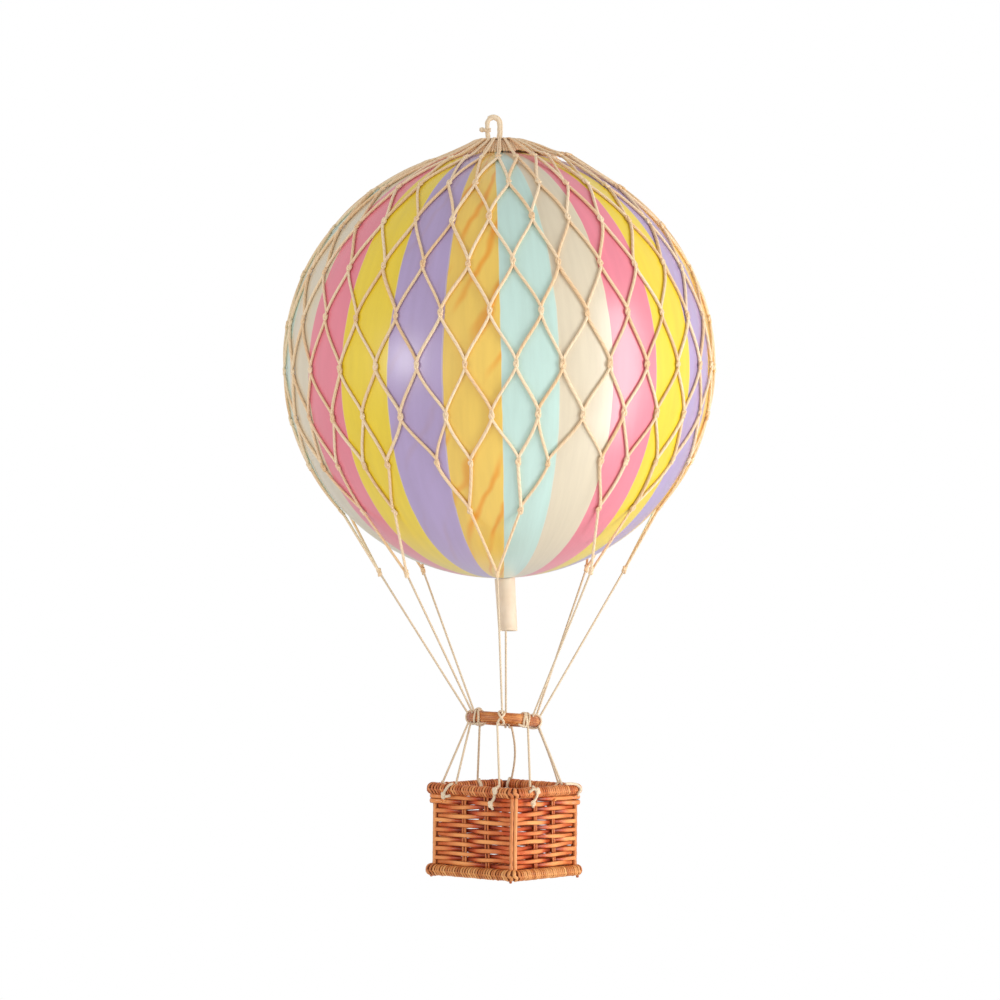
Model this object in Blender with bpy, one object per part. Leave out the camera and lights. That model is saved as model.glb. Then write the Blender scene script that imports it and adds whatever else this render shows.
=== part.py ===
"""A decorative hanging model of a gas balloon: a painted ball in a knotted cord net, with a wicker basket.

Metres, +Z up, origin at the inner top of the hanging loop. The viewer of the front looks along +Y, and an
azimuth is counted from the front (-Y) towards +X. Every piece that moves hangs from an empty on its pivot.
"""

import math

import bmesh
import bpy
from mathutils import Matrix, Vector

# Clearance between pieces that touch on the real object
GAP = 0.0003

# Painted ball
BALL_RADIUS = 0.090
BALL_CENTRE_Z = -0.1035
BALL_SEGMENTS = 48
BALL_RINGS = 24
GORE_COUNT = 24
GORE_COLOURS = (
    ("mint", (0.56, 0.79, 0.73)),
    ("cream", (0.78, 0.70, 0.57)),
    ("pink", (0.90, 0.36, 0.42)),
    ("yellow", (0.88, 0.68, 0.06)),
    ("lavender", (0.44, 0.32, 0.60)),
    ("orange", (0.83, 0.47, 0.10)),
)

# Knotted net: inner face of the cords, their section, and the knots' rows from the crown down
NET_RADIUS = 0.0913
NET_CORD = 0.0013
NET_THICKNESS = 0.0012
NET_KNOT_RISE = 0.0005
NET_COLUMNS = 32
NET_ROW_LATITUDES = (70.7, 54.2, 39.7, 25.4, 11.8, -1.4, -14.3, -27.6)
NET_FRONT_AZIMUTH = -2.0
TOP_ROW_TWIST = 4.8
# Above the top row the cords leave the ball for a ring round the gather
NET_RING_RADIUS = 0.0154
NET_RING_HEIGHT = 0.0921
NET_RING_SLOPE = math.radians(22.0)
# The net is drawn tighter at the back: a column's azimuth is its even place plus a share of the sine
SPREAD_AT_EQUATOR = 0.125
SPREAD_PER_SINE = 0.10
# The lowest row is pulled together in pairs, each pair in a knot, and two pairs in a load knot
LOAD_CORD_COUNT = 8
COLUMN_PITCH = 360.0 / NET_COLUMNS
LOAD_PITCH = 360.0 / LOAD_CORD_COUNT
PULL_IN_PAIR = 0.78
PULL_IN_GROUP = 0.93
PAIR_LATITUDE = -42.3
PAIR_OFFSET = 8.4
LOAD_KNOT_RADIUS = 0.052
LOAD_KNOT_DROP = 0.087

# Crown gather, ribbed by the cords that run over it, and hanging loop
CROWN_PROFILE = ((0.0, 0.0955), (0.0090, 0.0952), (0.0125, 0.0938), (0.0146, 0.0919))
CROWN_UNDERSIDE_RADII = (0.0146, 0.0100, 0.0050, 0.0)
CROWN_RIB_DEPTH = 0.0006
LOOP_CORD_RADIUS = 0.0010
LOOP_BEND_RADIUS = 0.00255
LOOP_ARCH_STEPS = 12

# Neck sleeve under the ball
NECK_TOP_RADIUS = 0.0043
NECK_BOTTOM_RADIUS = 0.0040
NECK_WALL = 0.0006
NECK_LENGTH = 0.0222
NECK_TOP_X = 0.0013
NECK_LEAN = math.radians(2.6)
NECK_STEPS = 20

# Load hoop, which hangs with its right side and its rear a little low
HOOP_DROP = 0.1496
HOOP_RADIUS = 0.01305
HOOP_ROD_RADIUS = 0.00245
HOOP_TILT = math.radians(4.8)
HOOP_PITCH = math.radians(5.0)
HOOP_STEPS = 36
HOOP_SIDES = 10
HITCH_AZIMUTHS = (-7.0, 50.0, 85.0, 107.5, 171.0, -130.5, -96.5, -66.0)
HITCH_THICKNESS = 0.0010
HITCH_WIDTH = 0.0026
HITCH_STEPS = 14
# A load cord meets its hitch this many degrees on from the middle, and a basket cord as far back
CORD_ASIDE = 4.5
# The cords aim at the outer half of the rod
CORD_OUTSET = 0.0011

# Straight cords
CORD_RADIUS = 0.0005
CORD_BEVEL = 2

# Basket, nearly square on plan, seen corner on: half sides are those of the rods' centre lines
BASKET_YAW = math.radians(48.3)
BASKET_TILT = math.radians(1.3)
BASKET_SKEW = 0.0018
RIM_DROP = 0.1789
BASE_DROP = 0.2131
BASKET_DROP = (RIM_DROP + BASE_DROP) / 2
RIM_RISE = (BASE_DROP - RIM_DROP) / 2
RIM_ROD_RADIUS = 0.00225
RIM_HALF_SIDE = 0.0223
BASE_ROD_RADIUS = 0.0023
BASE_HALF_SIDE = 0.0224
ROD_CORNER_RADIUS = 0.0028
ROD_CORNER_STEPS = 5
# A post is two rods side by side, and its reach is the room that a wall leaves it
POST_HALF_SIDE = 0.0208
POST_ROD_RADIUS = 0.00080
POST_ROD_ASIDE = 0.00070
POST_ARC_STEPS = 8
POST_REACH = 0.0015
WALL_HALF_SIDE = 0.0204
WALL_THICKNESS = 0.0022
WEAVER_COUNT = 15
WEAVER_BULGE = 0.0005
WEAVER_SWING = 0.0006
# How a weaver swings out and in along its wall: (share of the width, share of the swing)
WEAVE_COLUMNS = ((0.0, 0.0), (0.18, 0.5), (0.36, 1.0), (0.51, 0.0), (0.66, -1.0), (0.83, -0.5), (1.0, 0.0))
FLOOR_THICKNESS = 0.0020
SIDES = ("front_right", "rear_right", "rear_left", "front_left")
# Where the cords meet the rim, as shares of each side: (side, shares), sides run on from the front corner
RIM_CORD_SHARES = (
    ("front_right", 0.24),
    ("front_right", 0.76),
    ("rear_right", 0.26),
    ("rear_right", 0.92),
    ("rear_left", 0.38),
    ("rear_left", 0.87),
    ("front_left", 0.29),
    ("front_left", 0.825),
)
# The hitch each of those cords comes from, counted round the hoop from the front
RIM_CORD_HITCHES = (1, 2, 3, 4, 5, 6, 7, 0)

# Points that the hoop and the basket sway about: where the lines of their cords meet
HOOP_PIVOT_DROP = 0.1706
BASKET_PIVOT_DROP = 0.1170


def clear_scene():
    for thing in list(bpy.data.objects):
        bpy.data.objects.remove(thing, do_unlink=True)


def material(name, colour, roughness, metallic=0.0):
    made = bpy.data.materials.new(name)
    made.use_nodes = True
    shader = made.node_tree.nodes["Principled BSDF"]
    shader.inputs["Base Color"].default_value = (*colour, 1.0)
    shader.inputs["Roughness"].default_value = roughness
    shader.inputs["Metallic"].default_value = metallic
    return made


def empty(name, location, parent=None):
    made = bpy.data.objects.new(name, None)
    made.location = location
    made.parent = parent
    bpy.context.scene.collection.objects.link(made)
    return made


def add(name, data, parent, look):
    made = bpy.data.objects.new(name, data)
    made.parent = parent
    data.materials.append(look)
    bpy.context.scene.collection.objects.link(made)
    return made


def mesh_from(name, bm, smooth=True):
    bmesh.ops.recalc_face_normals(bm, faces=bm.faces)
    mesh = bpy.data.meshes.new(name)
    bm.to_mesh(mesh)
    bm.free()
    if smooth:
        mesh.shade_smooth()
        mesh.set_sharp_from_angle(angle=math.radians(40))
    return mesh


def heading(azimuth):
    """The level unit vector at this azimuth, in degrees from the front towards +X."""
    turn = math.radians(azimuth)
    return Vector((math.sin(turn), -math.cos(turn), 0.0))


def extruded(outline, height):
    """A solid of this plan from Z 0 up to a height."""
    bm = bmesh.new()
    face = bm.faces.new([bm.verts.new((point[0], point[1], 0.0)) for point in outline])
    moved = bmesh.ops.extrude_face_region(bm, geom=[face])["geom"]
    bmesh.ops.translate(bm, verts=[v for v in moved if isinstance(v, bmesh.types.BMVert)], vec=(0, 0, height))
    return bm


def turned(profile, steps):
    """A closed solid of revolution about Z. The profile is closed, or starts and ends on the axis."""
    bm = bmesh.new()
    points = [bm.verts.new((radius, 0.0, height)) for radius, height in profile]
    edges = [bm.edges.new(pair) for pair in zip(points, points[1:])]
    if profile[0][0] > 0.0:
        edges.append(bm.edges.new((points[-1], points[0])))
    bmesh.ops.spin(
        bm, geom=points + edges, cent=(0, 0, 0), axis=(0, 0, 1), angle=math.tau, steps=steps
    )
    bmesh.ops.remove_doubles(bm, verts=bm.verts, dist=1e-6)
    return bm


def tube(name, points, radius, parent, look, cyclic=False, bevel=CORD_BEVEL):
    """A round cord or rod along the points, with filled ends."""
    curve = bpy.data.curves.new(name, "CURVE")
    curve.dimensions = "3D"
    curve.bevel_depth = radius
    curve.bevel_resolution = bevel
    curve.use_fill_caps = True
    spline = curve.splines.new("POLY")
    spline.points.add(len(points) - 1)
    for target, point in zip(spline.points, points):
        target.co = (*point, 1.0)
    spline.use_cyclic_u = cyclic
    return add(name, curve, parent, look)


def spread_azimuth(even, latitude):
    """The azimuth of a net knot from its even place round the ball, both in degrees."""
    spread = SPREAD_AT_EQUATOR + SPREAD_PER_SINE * math.sin(math.radians(latitude))
    return NET_FRONT_AZIMUTH + even + math.degrees(spread * math.sin(math.radians(even)))


def on_ball(even, latitude):
    """The place and the outward normal of a net knot."""
    twist = TOP_ROW_TWIST if latitude == NET_ROW_LATITUDES[0] else 0.0
    level = heading(spread_azimuth(even, latitude) + twist)
    rise = math.radians(latitude)
    normal = level * math.cos(rise) + Vector((0.0, 0.0, math.sin(rise)))
    return normal * NET_RADIUS, normal


def ring_knot(column):
    """The place and the outward normal on the ring round the gather, above a knot of the top row."""
    level = heading(spread_azimuth(COLUMN_PITCH * column, NET_ROW_LATITUDES[0]) + TOP_ROW_TWIST)
    normal = level * math.sin(NET_RING_SLOPE) + Vector((0.0, 0.0, math.cos(NET_RING_SLOPE)))
    return level * NET_RING_RADIUS + Vector((0.0, 0.0, NET_RING_HEIGHT)), normal


def load_knot(index):
    """The place and the outward normal of a load knot, which hangs clear of the ball."""
    level = heading(spread_azimuth(LOAD_PITCH * index, PAIR_LATITUDE))
    along = Vector((LOAD_KNOT_RADIUS - HOOP_RADIUS, HOOP_DROP - LOAD_KNOT_DROP)).normalized()
    normal = level * along.y - Vector((0.0, 0.0, along.x))
    return level * LOAD_KNOT_RADIUS - Vector((0.0, 0.0, LOAD_KNOT_DROP)), normal


def net_knots():
    """Every knot of the net as {(row, place): (point, normal)}, and the cords as pairs of its keys."""
    knots = {}
    cords = []
    last_row = len(NET_ROW_LATITUDES) - 1
    for row, latitude in enumerate(NET_ROW_LATITUDES):
        for column in range(NET_COLUMNS):
            even = COLUMN_PITCH * (column + 0.5 * (row % 2))
            if row == last_row:
                group = LOAD_PITCH * math.floor(even / LOAD_PITCH + 0.5)
                side = math.copysign(COLUMN_PITCH, even - group)
                even = group + PULL_IN_GROUP * side + PULL_IN_PAIR * (even - group - side)
            knots[row, column] = on_ball(even, latitude)
            if row < last_row:
                other = column - 1 + 2 * (row % 2)
                cords.append(((row, column), (row + 1, column)))
                cords.append(((row, column), (row + 1, other % NET_COLUMNS)))
    for column in range(NET_COLUMNS):
        knots["ring", column] = ring_knot(column)
        cords.append((("ring", column), ("ring", (column + 1) % NET_COLUMNS)))
        cords.append((("ring", column), (0, column)))
    for index in range(LOAD_CORD_COUNT):
        knots["load", index] = load_knot(index)
        for side in (-1, 1):
            knots["pair", index, side] = on_ball(LOAD_PITCH * index + side * PAIR_OFFSET, PAIR_LATITUDE)
            cords.append((("load", index), ("pair", index, side)))
            first = 4 * index + (0 if side == 1 else -2)
            for column in (first, first + 1):
                cords.append((("pair", index, side), (last_row, column % NET_COLUMNS)))
    return knots, cords


def knot_corners(bm, point, normal, towards, open_below):
    """The corners of a knot's flat patch, one between each two neighbouring cords.

    Returns the patch, and {cord key: (corner before, corner after)} in their order round the normal.
    """
    across = normal.orthogonal().normalized()
    beside = normal.cross(across)
    bearings = {}
    for key, target in towards.items():
        way = target - point
        bearings[key] = math.atan2(way.dot(beside), way.dot(across))
    if open_below:
        way = Vector((-point.x, -point.y, -point.length))
        bearings["below"] = math.atan2(way.dot(beside), way.dot(across))
    order = sorted(bearings, key=bearings.get)
    corners = []
    for here, after in zip(order, order[1:] + order[:1]):
        half = ((bearings[after] - bearings[here]) % math.tau) / 2
        reach = min(NET_CORD / 2 / math.sin(half), 2 * NET_CORD)
        bearing = bearings[here] + half
        offset = across * math.cos(bearing) + beside * math.sin(bearing)
        corners.append(bm.verts.new(point + offset * reach))
    patch = bm.faces.new(corners)
    return patch, {key: (corners[place - 1], corners[place]) for place, key in enumerate(order)}


def build_net(parent, look):
    """The net as one sheet of raised knots and flat cords, thickened outwards."""
    knots, cords = net_knots()
    neighbours = {key: {} for key in knots}
    for one, other in cords:
        neighbours[one][other] = knots[other][0]
        neighbours[other][one] = knots[one][0]
    bm = bmesh.new()
    ends = {}
    patches = []
    for key, (point, normal) in knots.items():
        patch, ends[key] = knot_corners(bm, point, normal, neighbours[key], key[0] == "load")
        if key[0] != "ring":
            patches.append(patch)
    for one, other in cords:
        before, after = ends[one][other]
        far_before, far_after = ends[other][one]
        bm.faces.new((after, before, far_after, far_before))
    bm.normal_update()
    bmesh.ops.poke(bm, faces=patches, offset=NET_KNOT_RISE)
    bm.normal_update()
    mesh = bpy.data.meshes.new("cord_net")
    bm.to_mesh(mesh)
    bm.free()
    net = add("cord_net", mesh, parent, look)
    solid = net.modifiers.new("cord thickness", "SOLIDIFY")
    solid.thickness = NET_THICKNESS
    solid.offset = 1.0
    return net


def build_ball(parent, looks):
    """The painted ball, one material for each colour of gore."""
    bm = bmesh.new()
    bmesh.ops.create_uvsphere(bm, u_segments=BALL_SEGMENTS, v_segments=BALL_RINGS, radius=BALL_RADIUS)
    ball = add("envelope_ball", mesh_from("envelope_ball", bm), parent, looks[0])
    for look in looks[1:]:
        ball.data.materials.append(look)
    for face in ball.data.polygons:
        azimuth = math.degrees(math.atan2(face.center.x, -face.center.y)) % 360.0
        face.material_index = int(azimuth * GORE_COUNT / 360.0) % len(looks)


def build_crown(parent, look):
    """The gathered cords at the top: a low dome with a rib for each cord, which follows the ball below."""
    seat = BALL_RADIUS + GAP
    under = [(radius, math.sqrt(seat**2 - radius**2)) for radius in CROWN_UNDERSIDE_RADII]
    steps = 2 * NET_COLUMNS
    bm = turned(list(CROWN_PROFILE) + under, steps)
    for vertex in bm.verts:
        radius = math.hypot(vertex.co.x, vertex.co.y)
        step = round(math.atan2(vertex.co.y, vertex.co.x) * steps / math.tau)
        on_top = vertex.co.length > seat + CROWN_RIB_DEPTH
        if on_top and step % 2 and radius > CROWN_PROFILE[1][0] / 2:
            vertex.co.z -= CROWN_RIB_DEPTH
    add("crown_gather", mesh_from("crown_gather", bm), parent, look)


def build_loop(parent, look):
    """The hanging loop: two legs on the crown and a round arch whose inner top is the origin."""
    arch_height = -BALL_CENTRE_Z - (LOOP_BEND_RADIUS - LOOP_CORD_RADIUS)
    foot_height = CROWN_PROFILE[0][1] + GAP
    points = [(-LOOP_BEND_RADIUS, 0.0, foot_height)]
    for step in range(LOOP_ARCH_STEPS + 1):
        turn = math.pi * (1 - step / LOOP_ARCH_STEPS)
        rise = arch_height + LOOP_BEND_RADIUS * math.sin(turn)
        points.append((LOOP_BEND_RADIUS * math.cos(turn), 0.0, rise))
    points.append((LOOP_BEND_RADIUS, 0.0, foot_height))
    tube("hanging_loop", points, LOOP_CORD_RADIUS, parent, look)


def build_neck(parent, look):
    """The open sleeve below the ball, which leans a little to the right."""
    profile = (
        (NECK_TOP_RADIUS, 0.0),
        (NECK_BOTTOM_RADIUS, -NECK_LENGTH),
        (NECK_BOTTOM_RADIUS - NECK_WALL, -NECK_LENGTH),
        (NECK_TOP_RADIUS - NECK_WALL, 0.0),
    )
    neck = add("neck_sleeve", mesh_from("neck_sleeve", turned(profile, NECK_STEPS)), parent, look)
    neck.location = (NECK_TOP_X, 0.0, -BALL_RADIUS - 2 * GAP)
    neck.rotation_euler = (0.0, -NECK_LEAN, 0.0)


def ring_about(radius, rod_radius, steps, sides):
    """A round ring about Z."""
    profile = []
    for side in range(sides):
        turn = math.tau * side / sides
        profile.append((radius + rod_radius * math.cos(turn), rod_radius * math.sin(turn)))
    return turned(profile, steps)


def hoop_matrix():
    """The hoop's place from the ball's centre."""
    turn = Matrix.Rotation(HOOP_TILT, 4, "Y") @ Matrix.Rotation(-HOOP_PITCH, 4, "X")
    return Matrix.Translation((0.0, 0.0, -HOOP_DROP)) @ turn


def build_hoop(pivot, look, cord_look):
    """The cane hoop and the eight hitches of cord round its rod."""
    to_pivot = Matrix.Translation((0.0, 0.0, HOOP_PIVOT_DROP))
    bm = ring_about(HOOP_RADIUS, HOOP_ROD_RADIUS, HOOP_STEPS, HOOP_SIDES)
    hoop = add("load_hoop", mesh_from("load_hoop", bm), pivot, look)
    hoop.matrix_local = to_pivot @ hoop_matrix()
    inner = HOOP_ROD_RADIUS + GAP
    outer = inner + HITCH_THICKNESS
    edge = HITCH_WIDTH / 2
    profile = ((outer, -edge), (outer, edge), (inner, edge), (inner, -edge))
    for index, azimuth in enumerate(HITCH_AZIMUTHS):
        mesh = mesh_from("hitch", turned(profile, HITCH_STEPS))
        hitch = add(f"hoop_hitch_{index + 1}", mesh, pivot, cord_look)
        along_rod = heading(azimuth + 90.0).to_track_quat("Z", "X").to_matrix().to_4x4()
        place = Matrix.Translation(heading(azimuth) * HOOP_RADIUS)
        hitch.matrix_local = to_pivot @ hoop_matrix() @ place @ along_rod


def cord_end(index, aside, far):
    """Where a straight cord from a far point ends at a hitch, so many degrees on from the hitch's middle."""
    level = heading(HITCH_AZIMUTHS[index] + aside)
    aim = hoop_matrix() @ (level * (HOOP_RADIUS + CORD_OUTSET))
    way = (far - aim).normalized()
    offset = aim - hoop_matrix() @ (level * HOOP_RADIUS)
    along = offset.dot(way)
    clear = HOOP_ROD_RADIUS + HITCH_THICKNESS + 2 * GAP + CORD_RADIUS / 2
    return aim + way * (math.sqrt(along**2 - offset.length_squared + clear**2) - along)


def build_load_cords(parent, look):
    """The eight cords from the net's load knots to the hoop."""
    for index in range(LOAD_CORD_COUNT):
        point, normal = load_knot(index)
        start = point + normal * (NET_THICKNESS / 2)
        end = cord_end(index, CORD_ASIDE, start)
        start += (end - start).normalized() * (NET_CORD / 2)
        tube(f"load_cord_{index + 1}", (start, end), CORD_RADIUS, parent, look)


def basket_turn():
    """How the basket's own axes, with X and Y along its sides, are turned."""
    return Matrix.Rotation(BASKET_TILT, 4, "Y") @ Matrix.Rotation(BASKET_YAW, 4, "Z")


def skewed(point):
    """A place in the basket's square plan, moved to where the real plan has it.

    The front and rear corners lie to the right of the middle of the other two.
    """
    share = (1.0 + point.x * point.y / POST_HALF_SIDE**2) / 2
    return point + Matrix.Rotation(-BASKET_YAW, 3, "Z") @ Vector((BASKET_SKEW * share, 0.0, 0.0))


def side_point(side, share, half):
    """A point on one side of the basket in its own axes, the share counted on from the front corner."""
    run = half * (2 * share - 1)
    return skewed({
        "front_right": Vector((run, -half, 0.0)),
        "rear_right": Vector((half, run, 0.0)),
        "rear_left": Vector((-run, half, 0.0)),
        "front_left": Vector((-half, -run, 0.0)),
    }[side])


def build_basket_cords(basket, look):
    """The eight cords from the hoop to the basket's rim, in the basket's own axes."""
    from_basket = Matrix.Translation((0.0, 0.0, -BASKET_DROP)) @ basket_turn()
    for index, (side, share) in enumerate(RIM_CORD_SHARES):
        end = side_point(side, share, RIM_HALF_SIDE) + Vector((0.0, 0.0, RIM_RISE))
        start = from_basket.inverted() @ cord_end(RIM_CORD_HITCHES[index], -CORD_ASIDE, from_basket @ end)
        end -= (end - start).normalized() * (RIM_ROD_RADIUS + GAP + CORD_RADIUS / 2)
        tube(f"basket_cord_{index + 1}", (start, end), CORD_RADIUS, basket, look)


def rod_ring(half):
    """The centre line of a rod round the basket, with round corners."""
    points = []
    for corner in range(4):
        centre = Vector((half - ROD_CORNER_RADIUS, half - ROD_CORNER_RADIUS, 0.0))
        for step in range(ROD_CORNER_STEPS + 1):
            turn = math.pi / 2 * step / ROD_CORNER_STEPS
            arc = Vector((math.cos(turn), math.sin(turn), 0.0)) * ROD_CORNER_RADIUS
            points.append(skewed(Matrix.Rotation(math.pi / 2 * corner, 3, "Z") @ (centre + arc)))
    return points


def build_rods(basket, look):
    """The bound rods round the rim and the base."""
    for name, half, radius, height in (
        ("basket_rim", RIM_HALF_SIDE, RIM_ROD_RADIUS, RIM_RISE),
        ("basket_base_ring", BASE_HALF_SIDE, BASE_ROD_RADIUS, -RIM_RISE),
    ):
        rod = tube(name, rod_ring(half), radius, basket, look, cyclic=True)
        rod.location = (0.0, 0.0, height)


def between_rods():
    """The lowest and highest level of what stands between the two rods."""
    return BASE_ROD_RADIUS + GAP - RIM_RISE, RIM_RISE - RIM_ROD_RADIUS - GAP


def post_outline():
    """Two round rods side by side, grown together. X runs across."""
    outline = []
    half_arc = math.pi - math.acos(POST_ROD_ASIDE / POST_ROD_RADIUS)
    for side in (1, -1):
        for step in range(POST_ARC_STEPS):
            turn = half_arc * (2 * step / POST_ARC_STEPS - 1)
            across = POST_ROD_ASIDE + POST_ROD_RADIUS * math.cos(turn)
            outline.append((side * across, side * POST_ROD_RADIUS * math.sin(turn)))
    return outline


def build_posts(basket, look):
    low, high = between_rods()
    corners = (("front", -1, -1), ("right", 1, -1), ("rear", 1, 1), ("left", -1, 1))
    for turns, (name, x_side, y_side) in enumerate(corners):
        bm = extruded(post_outline(), high - low)
        post = add(f"corner_post_{name}", mesh_from("corner_post", bm), basket, look)
        foot = skewed(Vector((x_side, y_side, 0.0)) * POST_HALF_SIDE)
        post.location = (foot.x, foot.y, low)
        post.rotation_euler = (0.0, 0.0, math.pi / 2 * turns - math.pi / 4)


def wall_mesh(width, height):
    """A woven panel: each weaver is a ridge on both faces that runs out and in along the wall.

    X runs along, Y through and Z up from the middle of its foot.
    """
    bm = bmesh.new()
    loops = []
    for step in range(2 * WEAVER_COUNT + 1):
        rise = height * step / (2 * WEAVER_COUNT)
        on_weaver = step % 2 == 1
        half_depth = WALL_THICKNESS / 2 - (0.0 if on_weaver else WEAVER_BULGE)
        sway = (WEAVER_SWING if step % 4 == 1 else -WEAVER_SWING) if on_weaver else 0.0
        front = [(width * (share - 0.5), sway * swing - half_depth, rise) for share, swing in WEAVE_COLUMNS]
        back = [(along, depth + 2 * half_depth, rise) for along, depth, rise in reversed(front)]
        loops.append([bm.verts.new(point) for point in front + back])
    count = len(loops[0])
    for lower, upper in zip(loops, loops[1:]):
        for place in range(count):
            after = (place + 1) % count
            bm.faces.new((lower[place], lower[after], upper[after], upper[place]))
    for loop in (loops[0], loops[-1]):
        for place in range(len(WEAVE_COLUMNS) - 1):
            bm.faces.new((loop[place], loop[place + 1], loop[count - 2 - place], loop[count - 1 - place]))
    return mesh_from("wall", bm, smooth=False)


def build_walls(basket, look):
    """The four woven walls between the posts."""
    low, high = between_rods()
    for side in SIDES:
        start = side_point(side, 0.0, WALL_HALF_SIDE)
        end = side_point(side, 1.0, WALL_HALF_SIDE)
        along = end - start
        width = along.length - 2 * (WALL_HALF_SIDE - POST_HALF_SIDE + POST_REACH + GAP)
        wall = add(f"wall_{side}", wall_mesh(width, high - low), basket, look)
        middle = (start + end) / 2
        wall.location = (middle.x, middle.y, low)
        wall.rotation_euler = (0.0, 0.0, math.atan2(along.y, along.x))


def build_floor(pivot, look):
    """The woven floor, level inside the base ring."""
    half = BASE_HALF_SIDE - BASE_ROD_RADIUS - 2 * GAP
    plan = [Matrix.Rotation(BASKET_YAW, 3, "Z") @ side_point(side, 0.0, half) for side in SIDES]
    bm = extruded(plan, FLOOR_THICKNESS)
    floor = add("basket_floor", mesh_from("basket_floor", bm, smooth=False), pivot, look)
    base = basket_turn() @ Vector((0.0, 0.0, -RIM_RISE))
    floor.location = (base.x, 0.0, BASKET_PIVOT_DROP - BASKET_DROP + base.z - FLOOR_THICKNESS / 2)


def main():
    clear_scene()
    gores = [material(f"painted gore {name}", colour, 0.30) for name, colour in GORE_COLOURS]
    cotton = material("cotton cord", (0.80, 0.62, 0.40), 0.80)
    sleeve = material("pale sleeve", (0.91, 0.80, 0.62), 0.60)
    cane = material("brown cane", (0.42, 0.16, 0.05), 0.45)
    wicker = material("lacquered wicker", (0.55, 0.17, 0.06), 0.35)
    centre = empty("balloon_centre", (0.0, 0.0, BALL_CENTRE_Z))
    hoop_pivot = empty("hoop_pivot", (0.0, 0.0, -HOOP_PIVOT_DROP), centre)
    basket_pivot = empty("basket_pivot", (0.0, 0.0, -BASKET_PIVOT_DROP), centre)
    basket = empty("basket_middle", (0.0, 0.0, BASKET_PIVOT_DROP - BASKET_DROP), basket_pivot)
    basket.rotation_euler = basket_turn().to_euler()
    build_ball(centre, gores)
    build_net(centre, cotton)
    build_crown(centre, cotton)
    build_loop(centre, cotton)
    build_neck(centre, sleeve)
    build_load_cords(centre, cotton)
    build_hoop(hoop_pivot, cane, cotton)
    build_basket_cords(basket, cotton)
    build_rods(basket, wicker)
    build_posts(basket, wicker)
    build_walls(basket, wicker)
    build_floor(basket_pivot, wicker)


main()
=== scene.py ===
"""The looks of a decorative hanging model of a hot air balloon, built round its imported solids.

Metres, +Z up, origin at the inner top of the hanging loop. The photograph looks along +Y. An azimuth is
counted from the front (-Y) towards +X, in degrees. Cords, rods and weavers are all Strands.
"""

import math
import random

import bmesh
import bpy
import numpy as np
from mathutils import Matrix, Vector


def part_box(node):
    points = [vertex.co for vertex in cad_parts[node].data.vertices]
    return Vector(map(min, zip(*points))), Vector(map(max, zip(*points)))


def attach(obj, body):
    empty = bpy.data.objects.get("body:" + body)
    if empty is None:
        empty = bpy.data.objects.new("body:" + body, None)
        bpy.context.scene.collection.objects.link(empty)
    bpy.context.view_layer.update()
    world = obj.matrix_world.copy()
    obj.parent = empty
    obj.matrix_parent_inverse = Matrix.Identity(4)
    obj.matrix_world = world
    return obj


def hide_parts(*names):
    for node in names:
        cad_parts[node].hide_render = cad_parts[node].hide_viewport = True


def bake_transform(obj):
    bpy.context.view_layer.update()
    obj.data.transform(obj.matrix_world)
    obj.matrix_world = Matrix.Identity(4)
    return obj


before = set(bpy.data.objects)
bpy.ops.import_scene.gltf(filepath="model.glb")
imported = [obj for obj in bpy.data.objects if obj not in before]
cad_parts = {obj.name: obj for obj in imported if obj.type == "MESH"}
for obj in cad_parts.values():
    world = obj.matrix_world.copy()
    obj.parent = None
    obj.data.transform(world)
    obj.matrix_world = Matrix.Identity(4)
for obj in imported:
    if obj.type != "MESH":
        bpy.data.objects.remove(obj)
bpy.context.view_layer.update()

# Ball, from its solid, and how its poles lean and its gores are turned against the net. The gores left of the
# front are painted wider by a share at the middle, and by more for each metre below it
BALL_LOW, BALL_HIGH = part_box("envelope_ball")
BALL_RADIUS = (BALL_HIGH.z - BALL_LOW.z) / 2
CENTRE = Vector((0.0, 0.0, (BALL_HIGH.z + BALL_LOW.z) / 2))
BALL_LEAN = math.radians(-0.5)
BALL_TURN = math.radians(0.6)
BALL_PITCH = math.radians(3.0)
GORE_WIDENING = 0.03
GORE_WIDENING_DOWN = 0.95
GORE_WOBBLE = 0.012
# Soft darker slanting veins in the paint: painted shadow of the net's cords
SHADOW_VEIN_SLOPE = 43.0
SHADOW_VEIN_SLANT = 1.75
BALL_SEGMENTS = 192
BALL_RINGS = 96
GORE_COUNT = 24
GORE_COLOURS = (
    ("mint", (199, 229, 219)),
    ("cream", (226, 212, 184)),
    ("pink", (240, 132, 150)),
    ("yellow", (245, 214, 40)),
    ("lavender", (184, 162, 206)),
    ("orange", (247, 206, 90)),
)

# Net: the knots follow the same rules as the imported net, the cords lie on the ball
NET_CORD_RADIUS = 0.00065
NET_SEAT = BALL_RADIUS + NET_CORD_RADIUS + 0.00005
NET_COLUMNS = 32
NET_ROW_LATITUDES = (70.7, 54.2, 39.7, 25.4, 11.8, -1.4, -14.3, -27.6)
NET_FRONT_AZIMUTH = -2.0
TOP_ROW_TWIST = 4.8
# The slack of the top row, which stands off the ball at the rear and the right
TOP_ROW_SLACK_REAR = 0.0014
TOP_ROW_SLACK_RIGHT = 0.0013
SPREAD_AT_EQUATOR = 0.125
SPREAD_PER_SINE = 0.10
LOAD_CORD_COUNT = 8
COLUMN_PITCH = 360.0 / NET_COLUMNS
LOAD_PITCH = 360.0 / LOAD_CORD_COUNT
PULL_IN_PAIR = 0.78
PULL_IN_GROUP = 0.93
PAIR_LATITUDE = -42.3
PAIR_OFFSET = 8.4
LOAD_KNOT_RADIUS = 0.052
LOAD_KNOT_DROP = 0.087
KNOT_JITTER = 0.00045
STEPS_PER_LINK = 12
LINK_PULL = 0.22
LINK_BOW = 0.00022
KNOT_REACH = 0.0016
KNOT_SEAT = 0.00022
DROP_STEPS = 10

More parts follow.
